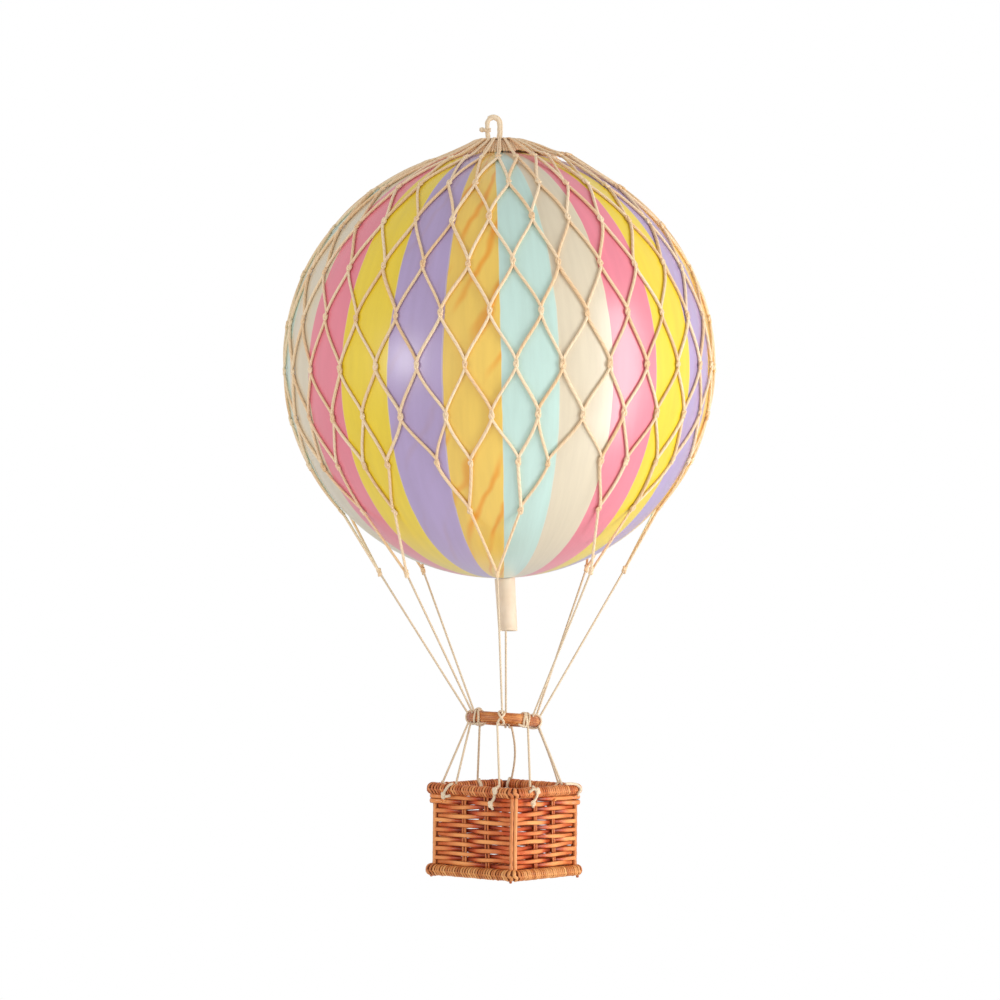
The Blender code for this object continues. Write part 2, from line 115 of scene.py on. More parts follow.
# Knots: a trefoil of the same cord, drawn out up and down
KNOT_RING = 0.00062
KNOT_LOBE = 0.00034
KNOT_RISE = 0.00030
KNOT_STEPS = 26
KNOT_WIDTH = 0.85
KNOT_HEIGHT = 1.95
KNOT_CORD_RADIUS = 0.00050
LOAD_KNOT_WIDTH = 0.55
LOAD_KNOT_HEIGHT = 1.7

# Crown: its cords' stations on their way in to the gather, as (reach, height above the ball's centre, how
# much higher at the right, and at the rear, share of the gather's own offset)
GATHER_OFFSET = Vector((0.0011, 0.0, 0.0))
CROWN_STATIONS = (
    (0.0240, 0.0890, 0.0010, 0.0008, 0.3),
    (0.0180, 0.0915, 0.0009, 0.0005, 0.6),
    (0.0125, 0.0937, 0.0004, 0.0002, 0.9),
    (0.0097, 0.0948, 0.0, 0.0, 1.0),
    (0.0066, 0.0950, 0.0, 0.0, 1.0),
    (0.0028, 0.0947, 0.0, 0.0, 0.6),
    (0.0012, 0.0930, 0.0, 0.0, 0.2),
)
CROWN_CORD_RADIUS = 0.00048
CROWN_CORD_APART = (0.00034, 0.00044)
CROWN_CORD_LIFT = 0.0003
UNDER_CORD_COUNT = 84
UNDER_CORD_RADIUS = 0.00055
UNDER_CORD_INNER = (0.0085, 0.0940, 0.0, 0.0, 1.0)
UNDER_CORD_REACH = 0.0163
UNDER_CORD_FURTHER = 0.0065
UNDER_CORD_HEIGHT = 0.0893
UNDER_CORD_FALL = 0.20

# Hanging loop, heights above the ball's centre
LOOP_OFFSET = Vector((-0.0010, 0.0, 0.0))
LOOP_CORD_RADIUS = 0.0010
LOOP_BEND_RADIUS = 0.00255
THIN_STRAND_RADIUS = 0.00034
TAIL_HEIGHT = 0.0993
TAIL_RADII = (0.0007, 0.0011)
LOOP_WRAP_REACH = 0.00122
LOOP_WRAP_RADIUS = 0.00036

# Neck sleeve
NECK_TOP_RADIUS = 0.0043
NECK_BOTTOM_RADIUS = 0.0040
NECK_WALL = 0.0004
NECK_LENGTH = 0.0222
NECK_TOP_X = 0.0013
NECK_LEAN = math.radians(2.6)
NECK_OVAL = 0.015
NECK_UNEVEN_END = 0.0004
NECK_STEPS = 64
NECK_ROWS = 14

# Hoop, which hangs with its right side and its rear a little low, depth below the ball's centre
HOOP_DROP = 0.1496
HOOP_RADIUS = 0.01305
HOOP_ROD_RADIUS = 0.00245
HOOP_TILT = math.radians(4.8)
HOOP_PITCH = math.radians(5.0)
HOOP_STEPS = 120
HITCH_STEPS = 40
# A hitch's azimuth, its wraps as (place along the rod, swing to either side, how much further on it is on the
# rod's outer face), and its loose strands as (place, turn round the rod, place, turn). Places are in
# millimetres and turns in degrees, with 0 outwards and 90 up
HITCHES = (
    (-7.0, ((0.6, 1.05, 0.1), (0.6, -1.05, 0.1)), ()),
    (50.0, ((-2.2, 0.2, -1.7), (-1.3, -0.2, -1.6), (-0.4, 0.2, -1.5)), ((-1.6, -58.0, -5.6, -48.0),)),
    (85.0, ((0.0, 0.1, 0.0), (1.0, -0.1, 0.0)), ()),
    (107.5, ((0.0, 0.3, 0.0),), ()),
    (171.0, ((-0.95, 0.1, 0.0), (0.95, -0.1, 0.0)), ()),
    (-130.5, ((-0.95, 0.1, 0.0), (0.95, -0.1, 0.0)), ()),
    (-96.5, ((0.0, 0.3, 0.0),), ()),
    (-66.0, ((1.2, 0.2, 2.3), (2.9, -0.2, 2.6)), ((-1.4, -66.0, 5.4, -58.0), (2.4, 55.0, 3.0, 112.0))),
)
CORD_ASIDE = 4.5
CORD_OUTSET = 0.0011
CORD_RADIUS = 0.00048
CORD_PLIES = 2
CORD_PLY_DEPTH = 0.035
FIBRE_HEIGHT = 0.00003
HITCH_REACH = HOOP_ROD_RADIUS + CORD_RADIUS * 0.9
DEGREES_PER_MM = 0.36 / (math.tau * HOOP_RADIUS)

# Basket, nearly square on plan, seen corner on: half sides are those of the rods' centre lines
BASKET_YAW = math.radians(48.3)
BASKET_TILT = math.radians(1.3)
BASKET_SKEW = 0.0018
RIM_DROP = 0.1789
BASE_DROP = 0.2131
BASKET_DROP = (RIM_DROP + BASE_DROP) / 2
RIM_RISE = (BASE_DROP - RIM_DROP) / 2
RIM_ROD_RADIUS = 0.00225
RIM_HALF_SIDE = 0.0223
BASE_ROD_RADIUS = 0.0023
BASE_HALF_SIDE = 0.0224
ROD_CORNER_RADIUS = 0.0028
POST_HALF_SIDE = 0.0208
POST_ROD_RADIUS = 0.00084
POST_ROD_ASIDE = 0.00080
# A post's rods as (side, how far out, radius, tone)
POST_RODS = (
    (1, 0.0003, POST_ROD_RADIUS, 1.05),
    (-1, 0.0002, POST_ROD_RADIUS, 0.80),
    (0, -0.0009, 0.0006, 0.2),
)
POST_FOOT_RADIUS = 0.0006
POST_STEPS = 36
POST_WAVE = 0.00010
POST_TWIST_DEPTH = 0.13
WALL_HALF_SIDE = 0.0204
WALL_CORNER_RADIUS = 0.0026
WEAVER_COUNT = 15
RIM_CORD_SHARES = (
    ("front_right", 0.24),
    ("front_right", 0.76),
    ("rear_right", 0.26),
    ("rear_right", 0.92),
    ("rear_left", 0.38),
    ("rear_left", 0.87),
    ("front_left", 0.29),
    ("front_left", 0.825),
)
RIM_CORD_HITCHES = (1, 2, 3, 4, 5, 6, 7, 0)
RIM_CORD_BOWS = {2: 0.0004, 3: 0.0016}
# The cord's end at each of those places: whether it passes over the rim's inner side, and its strands as
# (place along the rim, height against the rod's centre) in millimetres
RIM_TIES = (
    (
        False,
        ((0.0, 2.6), (0.3, 1.2), (1.2, -0.8), (0.2, -2.8), (-1.4, -4.6)),
        ((0.2, 1.6), (-1.8, 1.4), (-4.0, 0.6)),
    ),
    (False, ((0.0, 2.7), (3.2, 2.6), (6.2, 2.2), (8.2, 0.4), (7.4, -1.4), (6.8, -2.6))),
    (True, ((0.0, 2.7), (0.4, 0.0), (0.2, -2.4))),
    (True, ((0.0, 2.7), (-0.3, 0.0), (0.0, -2.4))),
    (True, ((0.0, 2.7), (0.4, 0.0), (-0.2, -2.4)), ((0.8, 2.6), (1.2, 0.0), (0.6, -2.2))),
    (True, ((0.0, 2.7), (-0.4, 0.0), (0.2, -2.4))),
    (
        False,
        ((0.0, 2.6), (-1.0, 1.8), (-2.6, -0.4), (-3.7, -2.4)),
        ((-3.9, -2.2), (-2.4, -2.8), (-0.4, -2.4)),
    ),
    (False, ((0.0, 2.7), (-0.3, 0.4), (-1.0, -2.2), (-2.7, -4.6), (-2.2, -6.0), (-1.6, -6.8))),
)
TIE_THICKENING = 1.28
TIE_KNOTS = ((0, 1.2, 0.6), (0, -1.2, -4.4), (6, -3.7, -2.4), (7, -0.2, 1.0), (7, -2.7, -4.8))
TIE_KNOT_RADIUS = 0.00056
SIDES = ("front_right", "rear_right", "rear_left", "front_left")
RIM_BINDING_PITCH = 0.00142
BASE_BINDING_PITCH = 0.00134
BINDING_THICKNESS = 0.00042
BINDING_WIDTH_SHARE = 0.465
BINDING_LIFT = 0.00014
BINDING_LEAD = 0.6
BINDING_STEPS = 16
ROD_STEPS = 96
# How far from a corner, in sides, its swelling, its bare stretch and the fanning out of its strips reach
SWELL_REACH = 0.11
BARE_REACH = 0.06
FAN_REACH = 0.07
FAN_SHARE = 0.55
STAKE_SHARES = (0.36, 0.66)
STAKE_RADIUS = 0.00052
STAKE_GAP = 0.00066
STAKE_LEAN = 0.0012
STAKE_WAVE = 0.00012
STAKE_STEPS = 24
STAKE_TONES = (0.60, 0.85)
WEAVER_SWING = 0.00100
WEAVER_HALF_HEIGHT = 0.00108
WEAVER_FLATNESS = 0.50
WEAVER_STEPS = 176
WEAVER_SIZES = (0.90, 1.06)
WEAVER_TONES = (0.24, 0.62)
WEAVER_WAVES = (0.00004, 0.00016)
WEAVER_WAVE_COUNTS = (1, 2, 3, 5, 7)
# How far out the weavers lie at a corner: inside the post, round its outside, and the two under the rim
CORNER_INSIDE = 0.0005
CORNER_OUTSIDE = 0.0021
CORNER_UNDER_RIM = 0.0036
CORNER_NEARING = 0.45
# Cut stake ends that show under the rim: (side, share, depth below the rim's rod)
STAKE_ENDS = (("front_left", 0.106, 0.0053), ("front_left", 0.150, 0.0047), ("front_right", 0.63, 0.0039))
STAKE_END_RADIUS = 0.0006

# Floor of the basket: weavers across it, in and out over the stakes at these shares of its half side
FLOOR_WEAVER_COUNT = 20
FLOOR_WEAVER_RADIUS = 0.00092
FLOOR_WEAVER_SWING = 0.00055
FLOOR_STAKE_SHARES = (-0.66, -0.22, 0.22, 0.66)

# Camera, level, as far off and as long as the photograph's
CAMERA_DISTANCE = 1.80
CAMERA_HEIGHT = -0.1605
CAMERA_SIDE = -0.0003
CAMERA_ROLL = math.radians(0.75)
CAMERA_LENS = 153.4

# Studio: the room's light from below to above, and the soft boxes as (name, azimuth, height over the ball's
# centre, distance, width, height, radiance)
FLOOR_HEIGHT = -0.90
FLOOR_RADIUS = 4.0
ROOM_LIGHT_BELOW = 0.885
ROOM_LIGHT_ABOVE = 0.53
SOFT_BOXES = (
    ("soft box right", 68.0, -0.12, 1.3, 0.44, 1.50, 6.6),
    ("soft box left", -49.0, 0.05, 1.4, 0.34, 0.36, 9.2),
)


def linear(rgb):
    """A display colour from 0 to 255 as the linear colour that Blender's shaders take."""
    values = []
    for part in rgb:
        share = part / 255.0
        values.append(share / 12.92 if share <= 0.04045 else ((share + 0.055) / 1.055) ** 2.4)
    return (*values, 1.0)


def unit(rows):
    return rows / np.maximum(np.linalg.norm(rows, axis=-1, keepdims=True), 1e-12)


def heading(azimuth):
    """The level unit vector at this azimuth."""
    turn = math.radians(azimuth)
    return Vector((math.sin(turn), -math.cos(turn), 0.0))


def upward(height):
    return Vector((0.0, 0.0, height))


def straight(start, end, steps):
    return [start.lerp(end, step / steps) for step in range(steps + 1)]


def level_part(vector):
    """The level unit vector that points the same way on plan."""
    return Vector((vector.x, vector.y, 0.0)).normalized()


def smooth_path(points, steps):
    """A smooth curve through the points (Catmull-Rom), with this many steps for each stretch."""
    places = [np.array(point, float) for point in points]
    places = [2 * places[0] - places[1]] + places + [2 * places[-1] - places[-2]]
    path = []
    for before, start, end, after in zip(places, places[1:], places[2:], places[3:]):
        for step in range(steps):
            t = step / steps
            path.append(
                0.5 * (
                    2 * start
                    + (end - before) * t
                    + (2 * before - 5 * start + 4 * end - after) * t * t
                    + (3 * start - before - 3 * end + after) * t**3
                )
            )
    path.append(places[-2])
    return np.array(path)


def carried_normals(tangents, closed):
    """Normals along a path that turn as little as they can."""
    first = np.cross(tangents[0], (0.0, 0.0, 1.0))
    if np.linalg.norm(first) < 0.05:
        first = np.cross(tangents[0], (1.0, 0.0, 0.0))
    normals = [first / np.linalg.norm(first)]
    for tangent in tangents[1:]:
        normal = normals[-1] - tangent * np.dot(normals[-1], tangent)
        normals.append(normal / np.linalg.norm(normal))
    normals = np.array(normals)
    if closed:
        last = normals[-1] - tangents[0] * np.dot(normals[-1], tangents[0])
        binormal = np.cross(tangents[0], normals[0])
        short = math.atan2(np.dot(last, binormal), np.dot(last, normals[0]))
        turn = -short * np.arange(len(normals)) / len(normals)
        across = np.cross(tangents, normals)
        normals = normals * np.cos(turn)[:, None] + across * np.sin(turn)[:, None]
    return normals


class Strands:
    """Swept strands gathered into one mesh.

    Its UV map runs along a strand in millimetres and round it from 0 to 1. The point attribute "tone" says
    how light the strand is, one random number for each strand if none is given.
    """

    def __init__(self, seed=1):
        self.random = random.Random(seed)
        self.points = []
        self.tones = []
        self.faces = []
        self.uvs = []
        self.count = 0

    def add(self, path, radius, sides=8, closed=False, flat=1.0, normals=None, plies=0, ply_depth=0.16,
            ply_pitch=0.0034, tone=None):
        """Sweeps one strand. flat squeezes it along its normals, and plies give it a twisted section."""
        path = np.asarray(path, float)
        radius = np.broadcast_to(np.asarray(radius, float), (len(path),)).copy()
        tone = self.random.random() if tone is None else tone
        tone = np.broadcast_to(np.asarray(tone, float), (len(path),))
        if closed:
            tangents = unit(np.roll(path, -1, 0) - np.roll(path, 1, 0))
        else:
            tone = np.pad(tone, 1, "edge")
            path, radius, normals = self.round_off(path, radius, normals)
            tangents = unit(np.gradient(path, axis=0))
        if normals is None:
            normals = carried_normals(tangents, closed)
        else:
            normals = unit(normals - tangents * np.sum(normals * tangents, axis=1, keepdims=True))
        binormals = np.cross(tangents, normals)
        lengths = np.linalg.norm(np.diff(path, axis=0), axis=1)
        along = np.concatenate(([0.0], np.cumsum(lengths)))
        turn = math.tau * np.arange(sides) / sides
        twist = math.tau * along / ply_pitch if plies else np.zeros(len(path))
        lobes = 1.0 + ply_depth * np.cos(plies * turn) if plies else np.ones(sides)
        angles = turn[None, :] + twist[:, None]
        reach = radius[:, None] * lobes[None, :]
        ring = (
            normals[:, None, :] * (np.cos(angles) * reach * flat)[:, :, None]
            + binormals[:, None, :] * (np.sin(angles) * reach)[:, :, None]
        )
        self.points.append((path[:, None, :] + ring).reshape(-1, 3))
        self.tones.append(np.repeat(tone, sides))
        self.skin(len(path), sides, closed, along)
        self.count += len(path) * sides

    def add_cord(self, path, radius=CORD_RADIUS):
        """Sweeps one twisted cord."""
        self.add(path, radius, sides=9, plies=CORD_PLIES, ply_depth=CORD_PLY_DEPTH)

    def round_off(self, path, radius, normals):
        """The path with a smaller ring beyond each end, so that the strand's ends are rounded."""
        start = unit(path[0] - path[1]) * radius[0] * 0.45
        end = unit(path[-1] - path[-2]) * radius[-1] * 0.45
        path = np.concatenate(([path[0] + start], path, [path[-1] + end]))
        radius = np.concatenate(([radius[0] * 0.6], radius, [radius[-1] * 0.6]))
        if normals is not None:
            normals = np.concatenate((normals[:1], normals, normals[-1:]))
        return path, radius, normals

    def skin(self, rings, sides, closed, along):
        """Faces and UV corners of the strand that was just added."""
        spans = rings if closed else rings - 1
        ring = np.repeat(np.arange(spans), sides)
        side = np.tile(np.arange(sides), spans)
        following = (ring + 1) % rings
        beside = (side + 1) % sides
        first = self.count
        near, far = ring * sides, following * sides
        quads = np.stack((near + side, near + beside, far + beside, far + side), 1)
        self.faces.extend((quads + first).tolist())
        step = along[1] - along[0] if closed else 0.0
        reach = np.append(along, along[-1] + step) * 1000.0
        low, high = reach[ring], reach[ring + 1]
        left, right = side / sides, (side + 1) / sides
        corners = np.stack((low, left, low, right, high, right, high, left), 1)
        self.uvs.append(corners.reshape(-1))
        if not closed:
            start = list(range(first, first + sides))
            end = list(range(first + (rings - 1) * sides, first + rings * sides))
            for cap, height in ((start[::-1], reach[0]), (end, reach[rings - 1])):
                self.faces.append(cap)
                self.uvs.append(np.tile((height, 0.5), sides))

    def make(self, name, look):
        mesh = bpy.data.meshes.new(name)
        mesh.from_pydata(np.concatenate(self.points), [], self.faces)
        layer = mesh.uv_layers.new(name="UVMap")
        layer.data.foreach_set("uv", np.concatenate(self.uvs))
        tone = mesh.attributes.new("tone", "FLOAT", "POINT")
        tone.data.foreach_set("value", np.concatenate(self.tones).astype(np.float32))
        mesh.shade_smooth()
        return place(name, mesh, look)


def place(name, mesh, look):
    """A new object of the mesh, with its material."""
    made = bpy.data.objects.new(name, mesh)
    bpy.context.scene.collection.objects.link(made)
    mesh.materials.append(look)
    return made


class Value:
    """A node's output, with arithmetic that adds the nodes for it."""

    def __init__(self, nodes, socket):
        self.nodes = nodes
        self.socket = socket

    def __add__(self, other):
        return self.nodes.math("ADD", self, other)

    def __sub__(self, other):
        return self.nodes.math("SUBTRACT", self, other)

    def __rsub__(self, other):
        return self.nodes.math("SUBTRACT", other, self)

    def __mul__(self, other):
        return self.nodes.math("MULTIPLY", self, other)


class Nodes:
    """A material's node tree, with short calls for the nodes used here."""

    def __init__(self, name):
        self.material = bpy.data.materials.new(name)
        self.material.use_nodes = True
        self.tree = self.material.node_tree
        self.shader = self.tree.nodes["Principled BSDF"]

    def feed(self, socket, value):
        if isinstance(value, Value):
            self.tree.links.new(value.socket, socket)
        else:
            socket.default_value = value

    def node(self, kind, *values, **settings):
        """A new node with these settings, whose first inputs take the values."""
        made = self.tree.nodes.new(kind)
        for key, value in settings.items():
            setattr(made, key, value)
        for socket, value in zip(made.inputs, values):
            self.feed(socket, value)
        return made

    def value(self, made, output=0):
        return Value(self, made.outputs[output])

    def math(self, operation, *values):
        return self.value(self.node("ShaderNodeMath", *values, operation=operation))

    def vector(self, *parts):
        return self.value(self.node("ShaderNodeCombineXYZ", *parts))

    def parts(self, vector):
        made = self.node("ShaderNodeSeparateXYZ", vector)
        return [self.value(made, output) for output in range(3)]

    def mix(self, factor, one, other, blend="MIX"):
        made = self.node("ShaderNodeMix", factor, data_type="RGBA", blend_type=blend)
        self.feed(made.inputs[6], one)
        self.feed(made.inputs[7], other)
        return self.value(made, 2)

    def spread(self, value, low, high, to_low=0.0, to_high=1.0):
        """The value's stretch from low to high, smoothly turned into the other one."""
        numbers = (value, low, high, to_low, to_high)
        return self.value(self.node("ShaderNodeMapRange", *numbers, interpolation_type="SMOOTHSTEP"))

    def noise(self, vector, scale, detail=3.0, roughness=0.55):
        made = self.node("ShaderNodeTexNoise", vector)
        made.inputs["Scale"].default_value = scale
        made.inputs["Detail"].default_value = detail
        made.inputs["Roughness"].default_value = roughness
        return self.value(made, "Fac")

    def ramp(self, value, stops, constant=False):
        made = self.node("ShaderNodeValToRGB", value)
        made.color_ramp.interpolation = "CONSTANT" if constant else "LINEAR"
        marks = made.color_ramp.elements
        while len(marks) < len(stops):
            marks.new(1.0)
        for mark, (position, _) in zip(marks, stops):
            mark.position = position
        for mark, (_, colour) in zip(marks, stops):
            mark.color = colour
        return self.value(made)

    def bump(self, height, distance, strength=1.0):
        made = self.node("ShaderNodeBump")
        made.inputs["Distance"].default_value = distance
        made.inputs["Strength"].default_value = strength
        self.feed(made.inputs["Height"], height)
        self.feed(self.shader.inputs["Normal"], self.value(made))

    def finish(self, colour, roughness, **numbers):
        self.feed(self.shader.inputs["Base Color"], colour)
        self.feed(self.shader.inputs["Roughness"], roughness)
        for label, number in numbers.items():
            self.shader.inputs[label.replace("_", " ")].default_value = number
        return self.material

    def position(self):
        return self.value(self.node("ShaderNodeTexCoord"), "Object")

    def along_and_around(self):
        """How far along the strand, in millimetres, and how far round it, from 0 to 1."""
        return self.parts(self.value(self.node("ShaderNodeTexCoord"), "UV"))[:2]

    def tone(self):
        return self.value(self.node("ShaderNodeAttribute", attribute_name="tone"), "Fac")


def painted_gores():
    """The ball's paint: 24 gores in six colours, with faint streaks, darker veins of painted shadow and a
    pearly gloss.
    """
    nodes = Nodes("painted gores")
    position = nodes.position()
    across, depth, height = nodes.parts(position)
    around = nodes.math("ARCTAN2", across, depth * -1.0)
    wider = nodes.math("MAXIMUM", GORE_WIDENING - height * GORE_WIDENING_DOWN, 0.0)
    leftward = nodes.math("MINIMUM", nodes.math("SINE", around), 0.0)
    around = around - wider * leftward
    wobble = (nodes.noise(position, 55.0, 2.0) - 0.5) * GORE_WOBBLE
    gore = (around + wobble) * (GORE_COUNT / math.tau) + float(GORE_COUNT)
    cycle = nodes.math("FRACT", nodes.math("DIVIDE", gore, float(len(GORE_COLOURS))))
    stops = [(index / len(GORE_COLOURS), linear(rgb)) for index, (name, rgb) in enumerate(GORE_COLOURS)]
    colour = nodes.ramp(cycle, stops, constant=True)
    streak = nodes.noise(nodes.vector(gore * 3.2, height * 16.0), 1.6, 4.0)
    shades = nodes.ramp(streak, ((0.25, (0.93, 0.92, 0.91, 1)), (0.75, (1.05, 1.05, 1.05, 1))))
    colour = nodes.mix(1.0, colour, shades, "MULTIPLY")
    # Darker veins: painted shadow of the net's cords
    shadow_vein = nodes.mix(1.0, colour, linear((252, 206, 112)), "MULTIPLY")
    colour = nodes.mix(gore_shadow_veins(nodes, position, gore, height, cycle), colour, shadow_vein)
    from_middle = nodes.math("ABSOLUTE", nodes.math("FRACT", gore) - 0.5)
    edge = nodes.spread(from_middle, 0.485, 0.5)
    colour = nodes.mix(edge * 0.35, colour, linear((246, 232, 200)))
    grain = nodes.noise(position, 900.0, 2.0)
    nodes.bump(grain * 0.4 + streak * 0.6, 0.00008)
    roughness = nodes.spread(streak, 0.2, 0.8, 0.36, 0.42)
    return nodes.finish(colour, roughness, Coat_Weight=1.0, Coat_Roughness=0.28, Specular_IOR_Level=0.5)


def gore_shadow_veins(nodes, position, gore, height, cycle):
    """How strongly a soft slanting vein of painted shadow from the net's cords shows: most in the orange
    gores, less in the lavender ones.
    """
    drift = nodes.noise(position, 38.0, 2.0) * 1.1
    band = nodes.math("PINGPONG", height * SHADOW_VEIN_SLOPE - gore * SHADOW_VEIN_SLANT + drift, 0.5)
    shadow_vein = nodes.spread(band, 0.0, 0.20, 1.0, 0.0)
    fade = nodes.spread(nodes.noise(position, 26.0, 1.0), 0.36, 0.54)
    in_orange = nodes.math("GREATER_THAN", cycle, 5.0 / 6.0)
    from_lavender = nodes.math("GREATER_THAN", cycle, 4.0 / 6.0)
    return shadow_vein * fade * (in_orange * 0.88 + from_lavender * 0.12)


def cotton(name, rgb, dark, plies, pitch, depth):
    """Cotton cord: plies that wind round it, fibres, painted shade in the grooves between the plies, and a
    little colour variation from cord to cord.
    """
    nodes = Nodes(name)
    along, around = nodes.along_and_around()
    position = nodes.position()
    wind = along * (1.0 / (pitch * 1000.0)) + around * float(plies)
    ridge = nodes.math("ABSOLUTE", nodes.math("SINE", wind * math.pi))
    fibre = nodes.noise(position, 2600.0, 2.0)
    light = nodes.noise(position, 90.0, 2.0) * 0.5 + nodes.tone() * 0.5
    colour = nodes.ramp(light, ((0.2, linear(dark)), (0.75, linear(rgb))))
    # Painted shade: the colour darkens in the grooves between the plies
    groove_shade = nodes.spread(ridge, 0.0, 0.45, 0.28, 0.0)
    colour = nodes.mix(groove_shade, colour, nodes.mix(1.0, colour, linear((205, 170, 135)), "MULTIPLY"))
    nodes.bump(ridge + fibre * (FIBRE_HEIGHT / depth), depth)
    return nodes.finish(colour, 0.85, Sheen_Weight=0.35, Sheen_Roughness=0.5, Specular_IOR_Level=0.25)


def wicker(name, colours):
    """Lacquered willow: lengthwise fibres, darker patches, painted shade along the edges where strands meet,
    and a tone for each strand.
    """
    nodes = Nodes(name)
    along, around = nodes.along_and_around()
    tone = nodes.tone()
    fibre = nodes.noise(nodes.vector(along * 0.16, around * 9.0, tone * 40.0), 1.6, 3.0)
    patch = nodes.noise(nodes.position(), 150.0, 2.0)
    # Along the weavers the tone also holds painted shade, darker where they pass inward
    light = tone * 0.55 + fibre * 0.25 + patch * 0.25
    dark, middle, pale = (linear(rgb) for rgb in colours)
    colour = nodes.ramp(light, ((0.15, dark), (0.50, middle), (0.85, pale)))
    # Painted shade: darker along the edges of each strand, where it meets its neighbours
    edge = nodes.math("ABSOLUTE", nodes.math("SINE", around * math.tau))
    colour = nodes.mix(nodes.spread(edge, 0.72, 1.0, 0.0, 0.75), colour, dark)
    nodes.bump(fibre, 0.00010, 0.8)
    return nodes.finish(colour, 0.38, Coat_Weight=0.22, Coat_Roughness=0.16, Specular_IOR_Level=0.3)


def cane():
    """The hoop's cane: lengthwise lines of darker and lighter brown."""
    nodes = Nodes("brown cane")
    along, around = nodes.along_and_around()
    round_half = nodes.math("PINGPONG", around, 0.5)
    lines = nodes.noise(nodes.vector(along * 0.05, round_half * 26.0), 1.5, 4.0, 0.6)
    light = lines * 0.7 + nodes.noise(nodes.position(), 110.0, 2.0) * 0.3
    browns = ((0.32, (120, 54, 18)), (0.47, (186, 100, 42)), (0.60, (236, 160, 88)))
    colour = nodes.ramp(light, [(mark, linear(rgb)) for mark, rgb in browns])
    nodes.bump(lines, 0.00022)
    return nodes.finish(colour, 0.42, Coat_Weight=0.25, Coat_Roughness=0.3)


def sleeve_paper():
    nodes = Nodes("pale sleeve")
    across, depth, height = nodes.parts(nodes.position())
    grain = nodes.noise(nodes.vector(across, depth, height * 0.25), 700.0, 3.0)
    cloud = nodes.noise(nodes.position(), 120.0, 2.0)
    colour = nodes.ramp(cloud, ((0.3, linear((232, 210, 182))), (0.7, linear((244, 226, 202)))))
    nodes.bump(grain, 0.00004)
    return nodes.finish(colour, 0.55, Specular_IOR_Level=0.4)


def build_ball(look):
    """The painted ball, whose poles lean a little against the net's."""
    bm = bmesh.new()
    bmesh.ops.create_uvsphere(bm, u_segments=BALL_SEGMENTS, v_segments=BALL_RINGS, radius=BALL_RADIUS)
    mesh = bpy.data.meshes.new("painted_ball")
    bm.to_mesh(mesh)
    bm.free()
    mesh.shade_smooth()
    ball = place("painted_ball", mesh, look)
    ball.location = CENTRE
    ball.rotation_euler = (BALL_PITCH, BALL_LEAN, BALL_TURN)
    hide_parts("envelope_ball")
    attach(ball, "balloon")


def spread_azimuth(even, latitude):
    """The azimuth of a net knot from its even place round the ball."""
    spread = SPREAD_AT_EQUATOR + SPREAD_PER_SINE * math.sin(math.radians(latitude))
    return NET_FRONT_AZIMUTH + even + math.degrees(spread * math.sin(math.radians(even)))


def on_ball(even, latitude):
    """The outward unit vector at a net knot."""
    twist = TOP_ROW_TWIST if latitude == NET_ROW_LATITUDES[0] else 0.0
    level = heading(spread_azimuth(even, latitude) + twist)
    rise = math.radians(latitude)
    return level * math.cos(rise) + upward(math.sin(rise))


def load_knot(index):
    """A load knot's place, which hangs clear of the ball."""
    level = heading(spread_azimuth(LOAD_PITCH * index, PAIR_LATITUDE))
    return CENTRE + level * LOAD_KNOT_RADIUS - upward(LOAD_KNOT_DROP)


def top_row_slack(outward):
    """How far a knot of the top row stands off the ball."""
    level = level_part(outward)
    return max(0.0, TOP_ROW_SLACK_REAR * (1.0 + level.y) + TOP_ROW_SLACK_RIGHT * level.x)


def net_knots(chance):
    """The net's knots as {key: place} and its cords on the ball as pairs of keys, upper knot first."""
    knots = {}
    links = []
    last_row = len(NET_ROW_LATITUDES) - 1
    for row, latitude in enumerate(NET_ROW_LATITUDES):
        for column in range(NET_COLUMNS):
            even = COLUMN_PITCH * (column + 0.5 * (row % 2))
            if row == last_row:
                group = LOAD_PITCH * math.floor(even / LOAD_PITCH + 0.5)
                side = math.copysign(COLUMN_PITCH, even - group)
                even = group + PULL_IN_GROUP * side + PULL_IN_PAIR * (even - group - side)
            stray = Vector([chance.gauss(0.0, KNOT_JITTER) for _ in range(3)])
            outward = (on_ball(even, latitude) * NET_SEAT + stray).normalized()
            slack = top_row_slack(outward) if row == 0 else 0.0
            knots[row, column] = CENTRE + outward * (NET_SEAT + slack)
            if row < last_row:
                other = (column - 1 + 2 * (row % 2)) % NET_COLUMNS
                links.append(((row, column), (row + 1, column)))
                links.append(((row, column), (row + 1, other)))
    for index in range(LOAD_CORD_COUNT):
        for side in (-1, 1):
            outward = on_ball(LOAD_PITCH * index + side * PAIR_OFFSET, PAIR_LATITUDE)
            knots["pair", index, side] = CENTRE + outward * NET_SEAT
            first = 4 * index + (0 if side == 1 else -2)
            for column in (first, first + 1):
                links.append(((last_row, column % NET_COLUMNS), ("pair", index, side)))
    return knots, links


